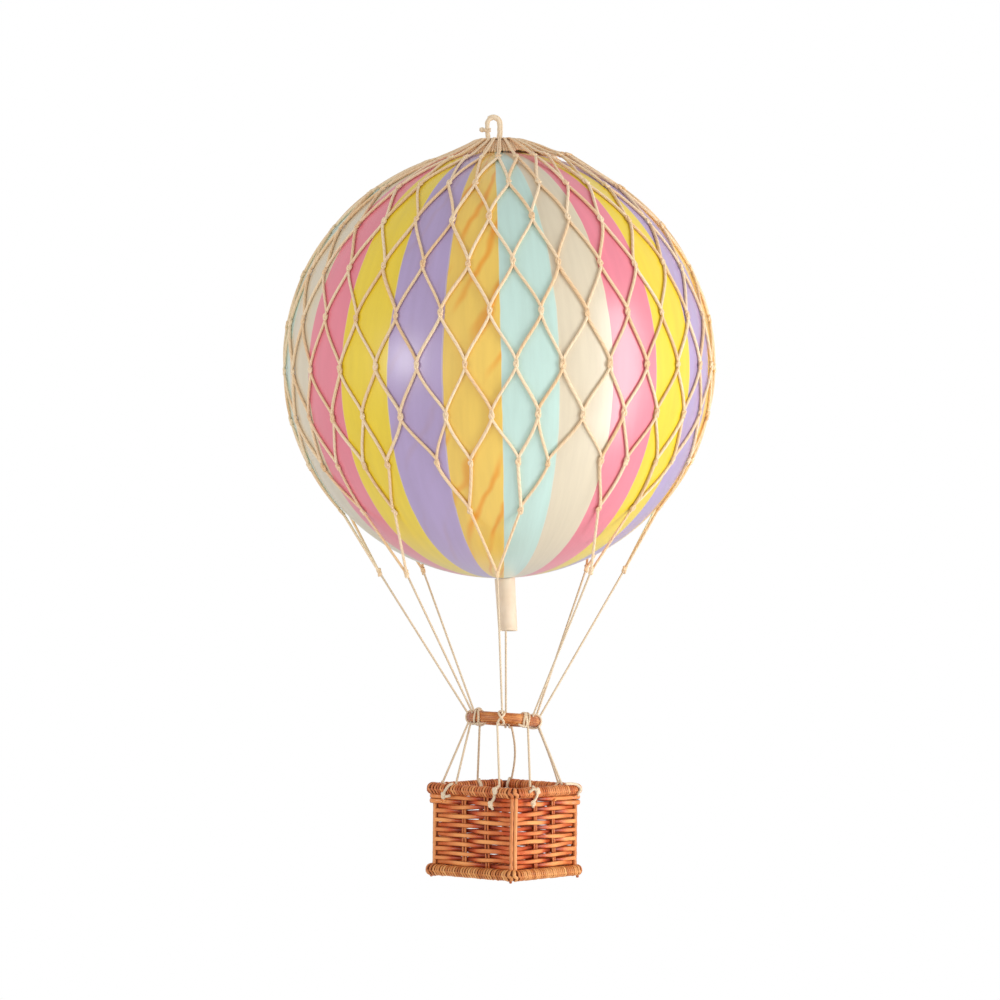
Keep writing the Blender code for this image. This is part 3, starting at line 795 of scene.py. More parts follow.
def link_path(upper, lower, chance):
    """A cord from one knot to another, which leaves both a little steeper than the straight way."""
    start = np.array(upper - CENTRE)
    end = np.array(lower - CENTRE)
    downward = []
    for place_here in (start, end):
        outward = place_here / np.linalg.norm(place_here)
        down = np.array((0.0, 0.0, -1.0)) + outward * outward[2]
        downward.append(down / max(np.linalg.norm(down), 1e-6))
    start = start + downward[0] * KNOT_REACH
    end = end - downward[1] * KNOT_REACH
    chord = end - start
    length = np.linalg.norm(chord)
    ways = [(chord / length * (1 - LINK_PULL) + down * LINK_PULL) * length for down in downward]
    t = np.linspace(0.0, 1.0, STEPS_PER_LINK + 1)[:, None]
    path = (
        (2 * t**3 - 3 * t**2 + 1) * start
        + (t**3 - 2 * t**2 + t) * ways[0]
        + (3 * t**2 - 2 * t**3) * end
        + (t**3 - t**2) * ways[1]
    )
    bow = np.cross(chord / length, unit(start + end)) * chance.gauss(0.0, LINK_BOW)
    path = path + np.sin(math.pi * t) * bow
    outward = unit(path)
    slack = (np.linalg.norm(start) - NET_SEAT) * (1 - t) ** 2
    return np.array(CENTRE) + outward * (NET_SEAT + slack), outward


def knot_path(centre, outward, size, turn, width=KNOT_WIDTH, height=KNOT_HEIGHT, way=(0.0, 0.0, -1.0)):
    """A small trefoil knot lying flat on its outward direction, drawn out along its cord's way."""
    outward = Vector(outward).normalized()
    way = Vector(way)
    down = (way - outward * outward.dot(way)).normalized()
    across = outward.cross(down)
    path = []
    for step in range(KNOT_STEPS):
        t = math.tau * step / KNOT_STEPS
        reach = KNOT_RING + KNOT_LOBE * math.cos(3 * t)
        flat = across * (width * reach * math.cos(2 * t + turn))
        flat += down * (height * reach * math.sin(2 * t + turn))
        path.append(centre + (flat + outward * KNOT_RISE * math.sin(3 * t)) * size)
    return path


def build_net(look):
    """The net's cords on the ball, its knots, and the cords that hang from it to the load knots."""
    chance = random.Random(11)
    knots, links = net_knots(chance)
    cords = Strands(seed=2)
    for upper, lower in links:
        path, outward = link_path(knots[upper], knots[lower], chance)
        cords.add(path, NET_CORD_RADIUS * chance.uniform(0.88, 1.12), sides=7, normals=outward)
    for index in range(LOAD_CORD_COUNT):
        for side in (-1, 1):
            drop = straight(knots["pair", index, side], load_knot(index), DROP_STEPS)
            cords.add(drop, NET_CORD_RADIUS * 0.9, sides=7)
    net = cords.make("net_cords", look)
    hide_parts("cord_net")
    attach(net, "balloon")
    build_knots(knots, chance, look)
    return knots


def build_knots(knots, chance, look):
    """The net's knots on the ball, and the load knots of two crossed trefoils each."""
    bunches = Strands(seed=3)
    for point in knots.values():
        outward = (point - CENTRE).normalized()
        size = chance.uniform(0.90, 1.12)
        path = knot_path(point + outward * KNOT_SEAT, outward, size, chance.uniform(0, math.tau))
        bunches.add(path, KNOT_CORD_RADIUS * size, sides=6, closed=True)
    for index in range(LOAD_CORD_COUNT):
        point = load_knot(index)
        way = (cord_end(index, CORD_ASIDE, point) - point).normalized()
        level = Vector((point.x, point.y, 0.0))
        for outward in (level, level.cross(way)):
            turn = chance.uniform(0, math.tau)
            path = knot_path(point, outward, 1.0, turn, LOAD_KNOT_WIDTH, LOAD_KNOT_HEIGHT, way)
            bunches.add(path, NET_CORD_RADIUS * 0.8, sides=6, closed=True)
    made = bunches.make("net_knots", look)
    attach(made, "balloon")


def crown_point(level, station):
    """A cord's place at one of the crown's stations, in this level direction."""
    reach, height, rise_right, rise_rear, share = station
    rise = height + rise_right * level.x + rise_rear * level.y
    return CENTRE + GATHER_OFFSET * share + level * reach + upward(rise)


def build_crown(knots, look):
    """Doubled cords from the top row of knots to the gather, over its edge and in under the loop."""
    cords = Strands(seed=4)
    chance = random.Random(5)
    for column in range(NET_COLUMNS):
        knot = knots[0, column]
        level = level_part(knot)
        beside = Vector((-level.y, level.x, 0.0))
        for side in (-1, 1):
            lift = upward(chance.uniform(-CROWN_CORD_LIFT, CROWN_CORD_LIFT))
            apart = beside * (side * chance.uniform(*CROWN_CORD_APART))
            points = [knot + upward(0.0001)]
            for station in CROWN_STATIONS:
                share = min(1.0, station[0] / CROWN_STATIONS[0][0] + 0.2)
                points.append(crown_point(level, station) + (apart + lift) * share)
            cords.add(smooth_path(points, 5), CROWN_CORD_RADIUS, sides=7)
    for index in range(UNDER_CORD_COUNT):
        level = heading(360 * index / UNDER_CORD_COUNT)
        further = UNDER_CORD_FURTHER * max(0.0, level.x + level.y) / math.sqrt(2.0)
        inner = crown_point(level, UNDER_CORD_INNER)
        seat = UNDER_CORD_HEIGHT - UNDER_CORD_FALL * further + chance.uniform(-0.0004, 0.0004)
        outer = crown_point(level, (UNDER_CORD_REACH + further, seat, 0.0004, 0.0, 0.7))
        middle = (inner + outer) / 2 + upward(0.0004)
        cords.add(smooth_path([inner, middle, outer], 3), UNDER_CORD_RADIUS, sides=6, tone=0.6)
    crown = cords.make("crown_cords", look)
    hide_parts("crown_gather")
    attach(crown, "balloon")


def loop_path(points, steps):
    """A smooth path through points that are counted from the ball's centre and moved with the loop."""
    return smooth_path([CENTRE + LOOP_OFFSET + Vector(point) for point in points], steps)


def build_loop(look):
    """The hanging loop with a thin strand along its right side, the wrap on its left leg and a cut tail."""
    cords = Strands(seed=6)
    bend = LOOP_BEND_RADIUS
    arch = -CENTRE.z - (bend - LOOP_CORD_RADIUS)
    points = [(-0.0014, 0.0002, 0.0938), (-0.0022, 0.0001, 0.0958), (-bend, 0.0, 0.0983)]
    for step in range(9):
        turn = math.pi * (1 - step / 8)
        points.append((bend * math.cos(turn), 0.0, arch + bend * math.sin(turn)))
    points += [(bend, 0.0, 0.0983), (0.0022, -0.0002, 0.0958), (0.0014, -0.0004, 0.0938)]
    cords.add(loop_path(points, 8), LOOP_CORD_RADIUS, sides=14, plies=2, ply_depth=0.06, ply_pitch=0.0052)
    outer = bend + LOOP_CORD_RADIUS
    points = []
    for step in range(7):
        turn = math.radians(130 - 130 * step / 6)
        points.append((outer * math.cos(turn), -0.0003, arch + outer * math.sin(turn)))
    points += [(outer, -0.0003, 0.0985), (outer - 0.0003, -0.0004, 0.0960), (0.0022, -0.0005, 0.0940)]
    cords.add(loop_path(points, 5), THIN_STRAND_RADIUS)
    tail = loop_path([
        (-bend, -0.0004, TAIL_HEIGHT),
        (-bend - 0.0014, -0.0010, TAIL_HEIGHT),
        (-bend - 0.0028, -0.0008, TAIL_HEIGHT + 0.0002),
    ], 4)
    cords.add(tail, np.linspace(*TAIL_RADII, len(tail)), sides=10, plies=2, ply_depth=0.12)
    for turn in range(2):
        wrap = []
        for angle in np.linspace(0, math.tau, 20, endpoint=False):
            across, depth = LOOP_WRAP_REACH * math.cos(angle), LOOP_WRAP_REACH * math.sin(angle)
            rise = TAIL_HEIGHT - 0.0004 + 0.0009 * turn + 0.0002 * math.sin(angle)
            wrap.append(CENTRE + LOOP_OFFSET + Vector((across - bend, depth, rise)))
        cords.add(wrap, LOOP_WRAP_RADIUS, closed=True)
    loop = cords.make("loop_cord", look)
    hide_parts("hanging_loop")
    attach(loop, "balloon")


def build_neck(look):
    """The open paper sleeve under the ball, thin and a little out of round."""
    bm = bmesh.new()
    rings = []
    for inner in (0.0, NECK_WALL):
        for row in range(NECK_ROWS):
            share = row / (NECK_ROWS - 1)
            radius = NECK_TOP_RADIUS + (NECK_BOTTOM_RADIUS - NECK_TOP_RADIUS) * share - inner
            ring = []
            for step in range(NECK_STEPS):
                turn = math.tau * step / NECK_STEPS
                reach = radius * (1.0 + NECK_OVAL * share * math.cos(2 * turn + 0.6))
                end = NECK_UNEVEN_END * share**8 * math.cos(turn + 2.2) - NECK_LENGTH * share
                ring.append(bm.verts.new((reach * math.cos(turn), reach * math.sin(turn), end)))
            rings.append(ring)
    outer, inside = rings[:NECK_ROWS], rings[NECK_ROWS:]
    strips = list(zip(outer, outer[1:])) + [(outer[-1], inside[-1])]
    strips += [(low, high) for high, low in zip(inside, inside[1:])] + [(inside[0], outer[0])]
    for upper, lower in strips:
        for step in range(NECK_STEPS):
            after = (step + 1) % NECK_STEPS
            bm.faces.new((upper[step], lower[step], lower[after], upper[after]))
    bmesh.ops.recalc_face_normals(bm, faces=bm.faces)
    mesh = bpy.data.meshes.new("paper_neck")
    bm.to_mesh(mesh)
    bm.free()
    mesh.shade_smooth()
    mesh.set_sharp_from_angle(angle=math.radians(50))
    neck = place("paper_neck", mesh, look)
    neck.location = CENTRE + Vector((NECK_TOP_X, 0.0, -BALL_RADIUS - 0.0001))
    neck.rotation_euler = (0.0, -NECK_LEAN, 0.0)
    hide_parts("neck_sleeve")
    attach(neck, "balloon")


def hoop_matrix():
    """The hoop's place."""
    turn = Matrix.Rotation(HOOP_TILT, 4, "Y") @ Matrix.Rotation(-HOOP_PITCH, 4, "X")
    return Matrix.Translation(CENTRE - upward(HOOP_DROP)) @ turn


def on_rod(azimuth, turn, reach):
    """A place round the hoop's rod: turn 0 is outwards and 90 is up."""
    angle = math.radians(turn)
    level = heading(azimuth) * (HOOP_RADIUS + reach * math.cos(angle))
    return hoop_matrix() @ (level + upward(reach * math.sin(angle)))


def cord_end(index, aside, far):
    """Where a straight cord from a far point ends at a hitch, some degrees on from the hitch's middle."""
    level = heading(HITCHES[index][0] + aside)
    aim = hoop_matrix() @ (level * (HOOP_RADIUS + CORD_OUTSET))
    way = (far - aim).normalized()
    offset = aim - hoop_matrix() @ (level * HOOP_RADIUS)
    along = offset.dot(way)
    clear = HOOP_ROD_RADIUS + CORD_RADIUS * 0.6
    return aim + way * (math.sqrt(along**2 - offset.length_squared + clear**2) - along)


def build_hoop(look):
    """The cane hoop, a little uneven along its rod."""
    rod = Strands(seed=7)
    level = [heading(360 * step / HOOP_STEPS) * HOOP_RADIUS for step in range(HOOP_STEPS)]
    centre = [hoop_matrix() @ point for point in level]
    chance = np.random.default_rng(8)
    swell = np.convolve(chance.normal(0, 1, HOOP_STEPS), np.ones(9) / 9, "same")
    up = np.tile(np.array(hoop_matrix().to_3x3() @ upward(1)), (HOOP_STEPS, 1))
    rod.add(centre, HOOP_ROD_RADIUS * (0.985 + 0.03 * swell), sides=28, closed=True, normals=up)
    hoop = rod.make("cane_hoop", look)
    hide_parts("load_hoop")
    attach(hoop, "hoop")


def hitch_wrap(azimuth, number, middle, swing, lead):
    """A wrap once round the rod. One that swings widely passes over those before it."""
    wrap = []
    for step in range(HITCH_STEPS):
        turn = 360 * step / HITCH_STEPS
        angle = math.radians(turn)
        aside = middle + swing * math.sin(2 * angle) + lead * max(0.0, math.cos(angle))
        over = CORD_RADIUS * 0.9 * number * max(0.0, math.cos(2 * angle)) if abs(swing) > 0.5 else 0.0
        wrap.append(on_rod(azimuth + aside * DEGREES_PER_MM, turn, HITCH_REACH + over))
    return wrap


def hitch_end(azimuth, from_place, from_turn, to_place, to_turn):
    """A loose strand that lies slanting on the rod."""
    strand = []
    for step in range(9):
        share = step / 8
        aside = from_place + (to_place - from_place) * share
        turn = from_turn + (to_turn - from_turn) * share
        lift = CORD_RADIUS * 1.4 * math.sin(math.pi * share) ** 0.5
        strand.append(on_rod(azimuth + aside * DEGREES_PER_MM, turn, HITCH_REACH + lift))
    return strand


def build_hitches(cord_look):
    """The cord hitched round the hoop in eight places."""
    cords = Strands(seed=9)
    for azimuth, wraps, ends in HITCHES:
        for number, wrap in enumerate(wraps):
            cords.add(hitch_wrap(azimuth, number, *wrap), CORD_RADIUS, closed=True, sides=9)
        for end in ends:
            cords.add_cord(hitch_end(azimuth, *end))
    hitches = cords.make("hitch_cords", cord_look)
    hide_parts(*[f"hoop_hitch_{index + 1}" for index in range(LOAD_CORD_COUNT)])
    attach(hitches, "hoop")


def bowed(start, end, bow, steps):
    """A nearly straight path that bows sideways by a small vector."""
    path = straight(start, end, steps)
    return [point + bow * math.sin(math.pi * step / steps) for step, point in enumerate(path)]


def build_load_cords(look):
    """The eight twisted cords from the load knots to the hoop."""
    cords = Strands(seed=10)
    for index in range(LOAD_CORD_COUNT):
        start = load_knot(index)
        cords.add_cord(straight(start, cord_end(index, CORD_ASIDE, start), 150))
    made = cords.make("load_cords", look)
    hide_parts(*[f"load_cord_{index + 1}" for index in range(LOAD_CORD_COUNT)])
    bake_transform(made)


def basket_matrix():
    """The basket's own axes, with X and Y along its sides and the origin midway between its rods."""
    turn = Matrix.Rotation(BASKET_TILT, 4, "Y") @ Matrix.Rotation(BASKET_YAW, 4, "Z")
    return Matrix.Translation(CENTRE - upward(BASKET_DROP)) @ turn


def in_basket(point):
    """A place in the basket's square plan, moved to where the real plan has it."""
    share = (1.0 + point.x * point.y / POST_HALF_SIDE**2) / 2
    skew = Matrix.Rotation(-BASKET_YAW, 3, "Z") @ Vector((BASKET_SKEW * share, 0.0, 0.0))
    return basket_matrix() @ (point + skew)


def side_frame(side):
    """A side's direction, counted on from the front corner, and its outward one, in the basket's axes."""
    along, outward = Vector((1, 0, 0)), Vector((0, -1, 0))
    for _ in range(SIDES.index(side)):
        along, outward = -outward, along
    return along, outward


def side_point(side, share, half):
    along, outward = side_frame(side)
    return along * (half * (2 * share - 1)) + outward * half


def build_basket_cords(look):
    """The eight twisted cords from the hoop to the rim."""
    cords = Strands(seed=12)
    for index, (side, share) in enumerate(RIM_CORD_SHARES):
        end = in_basket(side_point(side, share, RIM_HALF_SIDE) + upward(RIM_RISE))
        start = cord_end(RIM_CORD_HITCHES[index], -CORD_ASIDE, end)
        end -= (end - start).normalized() * (RIM_ROD_RADIUS + CORD_RADIUS * 0.5)
        bow = Vector((RIM_CORD_BOWS.get(index, 0.0), 0.0, 0.0))
        cords.add_cord(bowed(start, end, bow, 80))
    made = cords.make("basket_cords", look)
    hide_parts(*[f"basket_cord_{index + 1}" for index in range(len(RIM_CORD_SHARES))])
    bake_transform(made)


def ring_place(half, corner, place_round):
    """A point and the outward way on a round-cornered square, counted in sides from the front corner."""
    straight = 2 * (half - corner)
    arc = corner * math.pi / 2
    side, share = divmod(place_round % 4.0, 1.0)
    run = share * (straight + arc) - arc / 2
    on_straight = min(max(run, 0.0), straight)
    turn = (run - on_straight) / corner
    level = Vector((math.sin(turn), -math.cos(turn), 0.0))
    point = Vector((on_straight - straight / 2, corner - half, 0.0)) + level * corner
    spin = Matrix.Rotation(math.pi / 2 * side, 3, "Z")
    return spin @ point, spin @ level


def ring_length(half, corner):
    return 4 * (2 * (half - corner) + corner * math.pi / 2)


def corner_distance(place_round, corner):
    """How far a place is from a corner, both counted in sides round the basket."""
    return abs((place_round - corner + 2.0) % 4.0 - 2.0)


def build_rod(name, node, half, rod_radius, rise, pitch, swells, bare, look):
    """A rod round the basket, bound with thin strips, thicker at some corners and bare at others, where its
    very dark core shows as painted shade.
    """
    strands = Strands(seed=13)
    core = rod_radius - BINDING_THICKNESS * 1.6

    def thickness(place_round):
        swell = 1.0
        for corner, share in swells:
            swell += share * math.exp(-(corner_distance(place_round, corner) / SWELL_REACH) ** 2)
        return core * swell

    level = upward(rise)
    centre, radii = [], []
    for step in range(ROD_STEPS):
        place_round = 4.0 * step / ROD_STEPS
        centre.append(in_basket(ring_place(half, ROD_CORNER_RADIUS, place_round)[0] + level))
        radii.append(thickness(place_round))
    # The core is made very dark: painted shade where it shows at a bare corner
    strands.add(centre, radii, sides=12, closed=True, tone=0.05)
    turns = round(ring_length(half, ROD_CORNER_RADIUS) / pitch)
    axes = basket_matrix().to_3x3()
    for turn in range(turns):
        middle = 4.0 * (turn + 0.5) / turns
        if any(corner_distance(middle, corner) < BARE_REACH for corner in bare):
            continue
        path, outwards, widths = [], [], []
        width = pitch * BINDING_WIDTH_SHARE * strands.random.uniform(0.90, 1.08)
        lift = strands.random.uniform(-BINDING_LIFT, BINDING_LIFT)
        for step in range(BINDING_STEPS):
            angle = math.tau * step / BINDING_STEPS
            place_round = 4.0 * (turn + BINDING_LEAD * step / BINDING_STEPS) / turns
            point, way = ring_place(half, ROD_CORNER_RADIUS, place_round)
            outward = way * math.cos(angle) + upward(math.sin(angle))
            seat = thickness(place_round) + BINDING_THICKNESS * 0.7 + lift
            path.append(in_basket(point + level + outward * seat))
            outwards.append(axes @ outward)
            spreading = max(0.0, 1.0 - corner_distance(place_round, round(place_round)) / FAN_REACH)
            widths.append(width * (1.0 + FAN_SHARE * spreading * math.cos(angle)))
        tone = 1.05 if strands.random.random() < 0.05 else strands.random.uniform(0.28, 0.94)
        flat = BINDING_THICKNESS / width
        strands.add(path, widths, closed=True, flat=flat, normals=np.array(outwards), tone=tone)
    made = strands.make(name, look)
    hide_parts(node)
    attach(made, "basket")


def between_rods():
    """The lowest and highest level of what stands between the two rods."""
    return BASE_ROD_RADIUS - RIM_RISE, RIM_RISE - RIM_ROD_RADIUS


def build_posts(look):
    """Each corner post as a bundle of thin rods, and the cut foot of each post under the base."""
    strands = Strands(seed=14)
    low, high = between_rods()
    for x_side, y_side in ((-1, -1), (1, -1), (1, 1), (-1, 1)):
        corner = Vector((x_side, y_side, 0))
        across = Vector((-y_side, x_side, 0)).normalized()
        outward = corner.normalized()
        for side, out, radius, tone in POST_RODS:
            path, radii = [], []
            for step in range(POST_STEPS + 1):
                share = step / POST_STEPS
                wave = POST_WAVE * math.sin(5 * share + 3 * side)
                point = corner * POST_HALF_SIDE + across * (side * POST_ROD_ASIDE + wave) + outward * out
                path.append(in_basket(point + upward(low - 0.0004 + (high - low + 0.0008) * share)))
                twist = POST_TWIST_DEPTH * math.sin(46 * share) if side == -1 else 0.0
                radii.append(radius * (1.0 + twist))
            strands.add(path, radii, sides=10, tone=tone)
        foot = corner * (BASE_HALF_SIDE - 0.0006) - across * 0.0012 - upward(RIM_RISE)
        drop = upward(BASE_ROD_RADIUS + 0.0006)
        strands.add([in_basket(foot - drop * share) for share in (0.0, 0.5, 1.0)], POST_FOOT_RADIUS, tone=0.3)
    posts = strands.make("corner_rods", look)
    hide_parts(*[f"corner_post_{name}" for name in ("front", "right", "rear", "left")])
    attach(posts, "basket")


def corner_reach(corner, under_rim, sign):
    """How far out a weaver lies at a corner. Corners 0 and 4 are the front one, where its ends meet."""
    if corner in (0, 4):
        return CORNER_INSIDE
    if under_rim:
        return CORNER_UNDER_RIM
    return CORNER_OUTSIDE if sign < 0 else CORNER_INSIDE


def weaver_knots(weaver):
    """Where a weaver crosses the stakes and corners, as (place in sides from the front, how far out)."""
    under_rim = weaver >= WEAVER_COUNT - 2
    sign = 1 if weaver % 2 else -1
    knots = []
    for side in range(4):
        start = corner_reach(side, under_rim, sign)
        knots.append((side, start))
        knots.append((side + 0.07, start * CORNER_NEARING))
        knots.append((side + STAKE_SHARES[0], sign * WEAVER_SWING))
        knots.append((side + STAKE_SHARES[1], -sign * WEAVER_SWING))
        sign = -sign
        knots.append((side + 0.93, corner_reach(side + 1, under_rim, sign) * CORNER_NEARING))
    knots.append((4.0, CORNER_INSIDE))
    return knots


def smooth_between(knots, place_round):
    """The value at a place between knots of (place, value), level at each knot."""
    for (start, low), (end, high) in zip(knots, knots[1:]):
        if place_round <= end:
            t = (place_round - start) / (end - start)
            return low + (high - low) * t * t * (3 - 2 * t)
    return knots[-1][1]


def add_weaver(strands, weaver, low, pitch):
    """One weaver right round the basket, with small waves in its height, and a tone of painted shade: darker
    where it passes inward, lighter where it passes out.
    """
    chance = strands.random
    axes = basket_matrix().to_3x3()
    knots = weaver_knots(weaver)
    size = chance.uniform(*WEAVER_SIZES)
    base_tone = chance.uniform(*WEAVER_TONES)
    waves = []
    for count in WEAVER_WAVE_COUNTS:
        waves.append((count, chance.uniform(*WEAVER_WAVES), chance.uniform(0, math.tau)))
    path, radii, normals, tones = [], [], [], []
    for step in range(WEAVER_STEPS):
        place_round = 4.0 * step / WEAVER_STEPS
        point, level = ring_place(WALL_HALF_SIDE, WALL_CORNER_RADIUS, place_round)
        out = smooth_between(knots, place_round)
        rise = low + (weaver + 0.5) * pitch
        for count, reach, start in waves:
            rise += reach * math.sin(count * place_round * math.pi / 2 + start)
        path.append(in_basket(point + level * out + upward(rise)))
        share = max(-1.0, min(1.0, out / WEAVER_SWING))
        radii.append(WEAVER_HALF_HEIGHT * size * (0.86 + 0.07 * share))
        normals.append(axes @ level)
        # Painted shade: the tone falls where the weaver passes inward behind a stake and rises where it
        # passes out
        tones.append(base_tone + 0.04 + 0.52 * share)
    normals = np.array(normals)
    strands.add(path, radii, sides=9, closed=True, flat=WEAVER_FLATNESS, normals=normals, tone=tones)


def add_stake(strands, side, stake, aside, low, high):
    """One of a wall's doubled stakes, which leans a little."""
    along, outward = side_frame(side)
    start = (POST_HALF_SIDE - 0.0006) * (2 * STAKE_SHARES[stake] - 1) + aside * STAKE_GAP
    lean = STAKE_LEAN * (1 if stake else 0.6)
    path = []
    for step in range(STAKE_STEPS + 1):
        fall = step / STAKE_STEPS
        run = start + lean * (fall - 0.5) + STAKE_WAVE * math.sin(9 * fall + aside)
        rise = high - (high - low) * fall
        path.append(in_basket(along * run + outward * WALL_HALF_SIDE + upward(rise)))
    strands.add(path, STAKE_RADIUS, tone=strands.random.uniform(*STAKE_TONES))


def build_walls(look):
    """The woven walls: 15 weavers right round the basket, in and out past two doubled stakes a side."""
    strands = Strands(seed=20)
    low, high = between_rods()
    for weaver in range(WEAVER_COUNT):
        add_weaver(strands, weaver, low, (high - low) / WEAVER_COUNT)
    for side in SIDES:
        for stake in range(len(STAKE_SHARES)):
            for aside in (-1, 1):
                add_stake(strands, side, stake, aside, low, high)
    for side, share, drop in STAKE_ENDS:
        outward = side_frame(side)[1]
        foot = side_point(side, share, WALL_HALF_SIDE) + upward(RIM_RISE - drop)
        path = [in_basket(foot + outward * out) for out in (0.0, 0.0012, 0.0021)]
        strands.add(path, STAKE_END_RADIUS, tone=1.3)
    walls = strands.make("woven_walls", look)
    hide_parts(*[f"wall_{side}" for side in SIDES])
    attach(walls, "basket")


def build_floor(look):
    """The woven floor: weavers in and out over four doubled stakes."""
    strands = Strands(seed=30)
    half = BASE_HALF_SIDE - BASE_ROD_RADIUS * 0.8
    level = upward(-RIM_RISE)
    up = np.array(basket_matrix().to_3x3() @ upward(1))
    for weaver in range(FLOOR_WEAVER_COUNT):
        across = half * (2 * (weaver + 0.5) / FLOOR_WEAVER_COUNT - 1)
        swing = FLOOR_WEAVER_SWING * (1 if weaver % 2 else -1)
        path = []
        for step in range(41):
            run = -half + 2 * half * step / 40
            rise = swing * math.cos((run / half + 0.22) * math.pi / 0.44)
            path.append(in_basket(Vector((run, across, rise)) + level))
        strands.add(path, FLOOR_WEAVER_RADIUS, flat=0.5, normals=np.tile(up, (len(path), 1)))
    for share in FLOOR_STAKE_SHARES:
        for aside in (-1, 1):
            run = share * half + aside * STAKE_GAP
            start, end = (in_basket(Vector((run, reach, 0)) + level) for reach in (-half, half))
            strands.add(straight(start, end, 8), STAKE_RADIUS)
    floor = strands.make("woven_floor", look)
    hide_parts("basket_floor")
    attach(floor, "basket")


def tie_point(index, aside, height, lift=0.0):
    """A place on the rim's rod at a tie, in millimetres: on the rod's face, or hanging free below it."""
    side, share = RIM_CORD_SHARES[index]
    along, outward = side_frame(side)
    reach = RIM_ROD_RADIUS + CORD_RADIUS * 1.3 + lift
    rise = height / 1000.0
    out = math.sqrt(max(reach**2 - rise**2, 0.0)) if rise > -0.0012 else reach * 0.83
    out = -out if RIM_TIES[index][0] else out
    middle = side_point(side, share, RIM_HALF_SIDE)
    return in_basket(middle + along * (aside / 1000.0) + outward * out + upward(RIM_RISE + rise))


def build_rim_ties(look):
    """The cord's end at each of the eight places on the rim, with its knots."""
    cords = Strands(seed=15)
    for index, (inside, *strands) in enumerate(RIM_TIES):
        for strand in strands:
            path = smooth_path([tie_point(index, aside, height) for aside, height in strand], 6)
            cords.add_cord(path, CORD_RADIUS * TIE_THICKENING)
    for index, aside, height in TIE_KNOTS:
        outward = basket_matrix().to_3x3() @ side_frame(RIM_CORD_SHARES[index][0])[1]
        point = tie_point(index, aside, height, 0.0002)
        path = knot_path(point, outward, 1.0, cords.random.uniform(0, math.tau), height=1.3)
        cords.add(path, TIE_KNOT_RADIUS, closed=True)
    ties = cords.make("rim_ties", look)
    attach(ties, "basket")


def build_stage():
    """A plain pale floor well below the model, soft boxes to both sides, and a white room."""
    mesh = bpy.data.meshes.new("studio_floor")
    bm = bmesh.new()
    bmesh.ops.create_circle(bm, cap_ends=True, segments=96, radius=FLOOR_RADIUS)
    bm.to_mesh(mesh)
    bm.free()
    floor = bpy.data.objects.new("studio_floor", mesh)
    floor.location = (0.0, 0.0, FLOOR_HEIGHT)
    bpy.context.scene.collection.objects.link(floor)
    nodes = Nodes("pale floor")
    cloud = nodes.noise(nodes.position(), 1.5, 2.0)
    tint = nodes.ramp(cloud, ((0.3, (0.90, 0.90, 0.90, 1)), (0.7, (0.93, 0.93, 0.93, 1))))
    mesh.materials.append(nodes.finish(tint, 0.9))
    build_room()
    for name, azimuth, height, distance, width, tall, radiance in SOFT_BOXES:
        data = bpy.data.lights.new(name, "AREA")
        data.shape = "RECTANGLE"
        data.size = width
        data.size_y = tall
        data.energy = radiance * math.pi * width * tall
        lamp = bpy.data.objects.new(name, data)
        lamp.location = CENTRE + heading(azimuth) * distance + upward(height)
        lamp.rotation_euler = (CENTRE - lamp.location).to_track_quat("-Z", "Y").to_euler()
        bpy.context.scene.collection.objects.link(lamp)


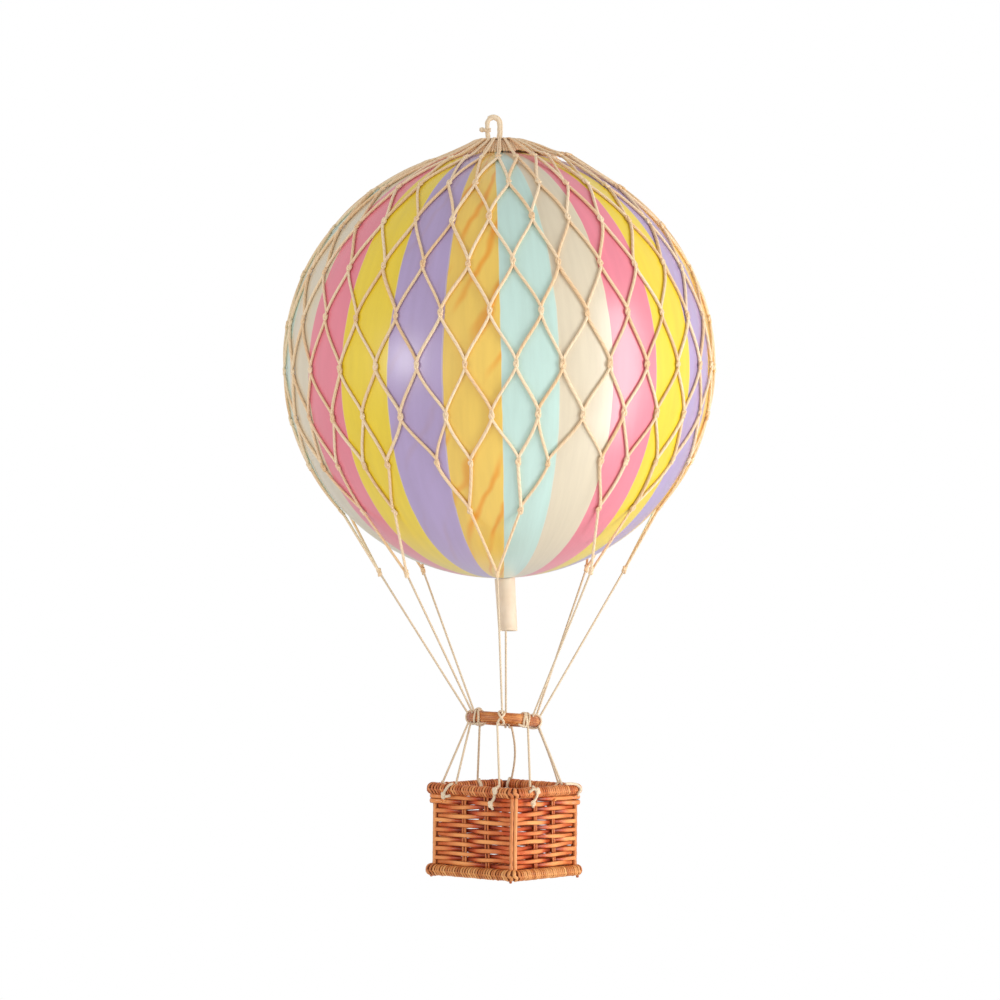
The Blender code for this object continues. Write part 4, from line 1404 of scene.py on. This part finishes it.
def build_room():
    """A room that is white behind the model and a little darker as a light on it, darkest from above."""
    world = bpy.data.worlds.new("white room")
    world.use_nodes = True
    tree = world.node_tree
    light = tree.nodes["Background"]
    backdrop = tree.nodes.new("ShaderNodeBackground")
    way = tree.nodes.new("ShaderNodeTexCoord")
    split = tree.nodes.new("ShaderNodeSeparateXYZ")
    fade = tree.nodes.new("ShaderNodeMapRange")
    for socket, number in zip(list(fade.inputs)[1:5], (-1.0, 1.0, ROOM_LIGHT_BELOW, ROOM_LIGHT_ABOVE)):
        socket.default_value = number
    ray = tree.nodes.new("ShaderNodeLightPath")
    choice = tree.nodes.new("ShaderNodeMixShader")
    tree.links.new(way.outputs["Generated"], split.inputs[0])
    tree.links.new(split.outputs[2], fade.inputs[0])
    tree.links.new(fade.outputs[0], light.inputs["Strength"])
    tree.links.new(ray.outputs["Is Camera Ray"], choice.inputs[0])
    tree.links.new(light.outputs[0], choice.inputs[1])
    tree.links.new(backdrop.outputs[0], choice.inputs[2])
    tree.links.new(choice.outputs[0], tree.nodes["World Output"].inputs["Surface"])
    for background in (light, backdrop):
        background.inputs["Color"].default_value = (1.0, 1.0, 1.0, 1.0)
    bpy.context.scene.world = world


def build_camera():
    data = bpy.data.cameras.new("camera")
    data.lens = CAMERA_LENS
    data.sensor_width = 36.0
    camera = bpy.data.objects.new("camera", data)
    camera.location = (CAMERA_SIDE, -CAMERA_DISTANCE, CAMERA_HEIGHT)
    camera.rotation_euler = (math.pi / 2, CAMERA_ROLL, 0.0)
    bpy.context.scene.collection.objects.link(camera)
    bpy.context.scene.camera = camera
    bpy.context.scene.view_settings.view_transform = "Standard"


build_camera()
build_stage()
net_cotton = cotton("net cotton", (255, 230, 194), (246, 206, 158), 2, 0.0032, 0.00010)
cord_cotton = cotton("twisted cotton", (246, 226, 196), (226, 200, 166), 4, 0.0016, 0.00003)
build_ball(painted_gores())
net_places = build_net(net_cotton)
build_crown(net_places, net_cotton)
build_loop(cord_cotton)
build_neck(sleeve_paper())
build_load_cords(cord_cotton)
build_hoop(cane())
build_hitches(cord_cotton)
build_basket_cords(cord_cotton)
weaver_look = wicker("lacquered weavers", ((112, 20, 3), (206, 82, 28), (255, 172, 100)))
rim_look = wicker("lacquered rim", ((116, 40, 14), (206, 108, 52), (246, 168, 104)))
base_look = wicker("lacquered base", ((126, 50, 18), (214, 128, 64), (250, 182, 112)))
build_rod("bound_rim", "basket_rim", RIM_HALF_SIDE, RIM_ROD_RADIUS, RIM_RISE, RIM_BINDING_PITCH,
          ((3, 0.16), (1, 0.06)), (2,), rim_look)
build_rod("bound_base", "basket_base_ring", BASE_HALF_SIDE, BASE_ROD_RADIUS, -RIM_RISE, BASE_BINDING_PITCH,
          ((3, 0.28), (0, 0.10), (1, 0.06)), (), base_look)
build_posts(rim_look)
build_walls(weaver_look)
build_floor(weaver_look)
build_rim_ties(cord_cotton)
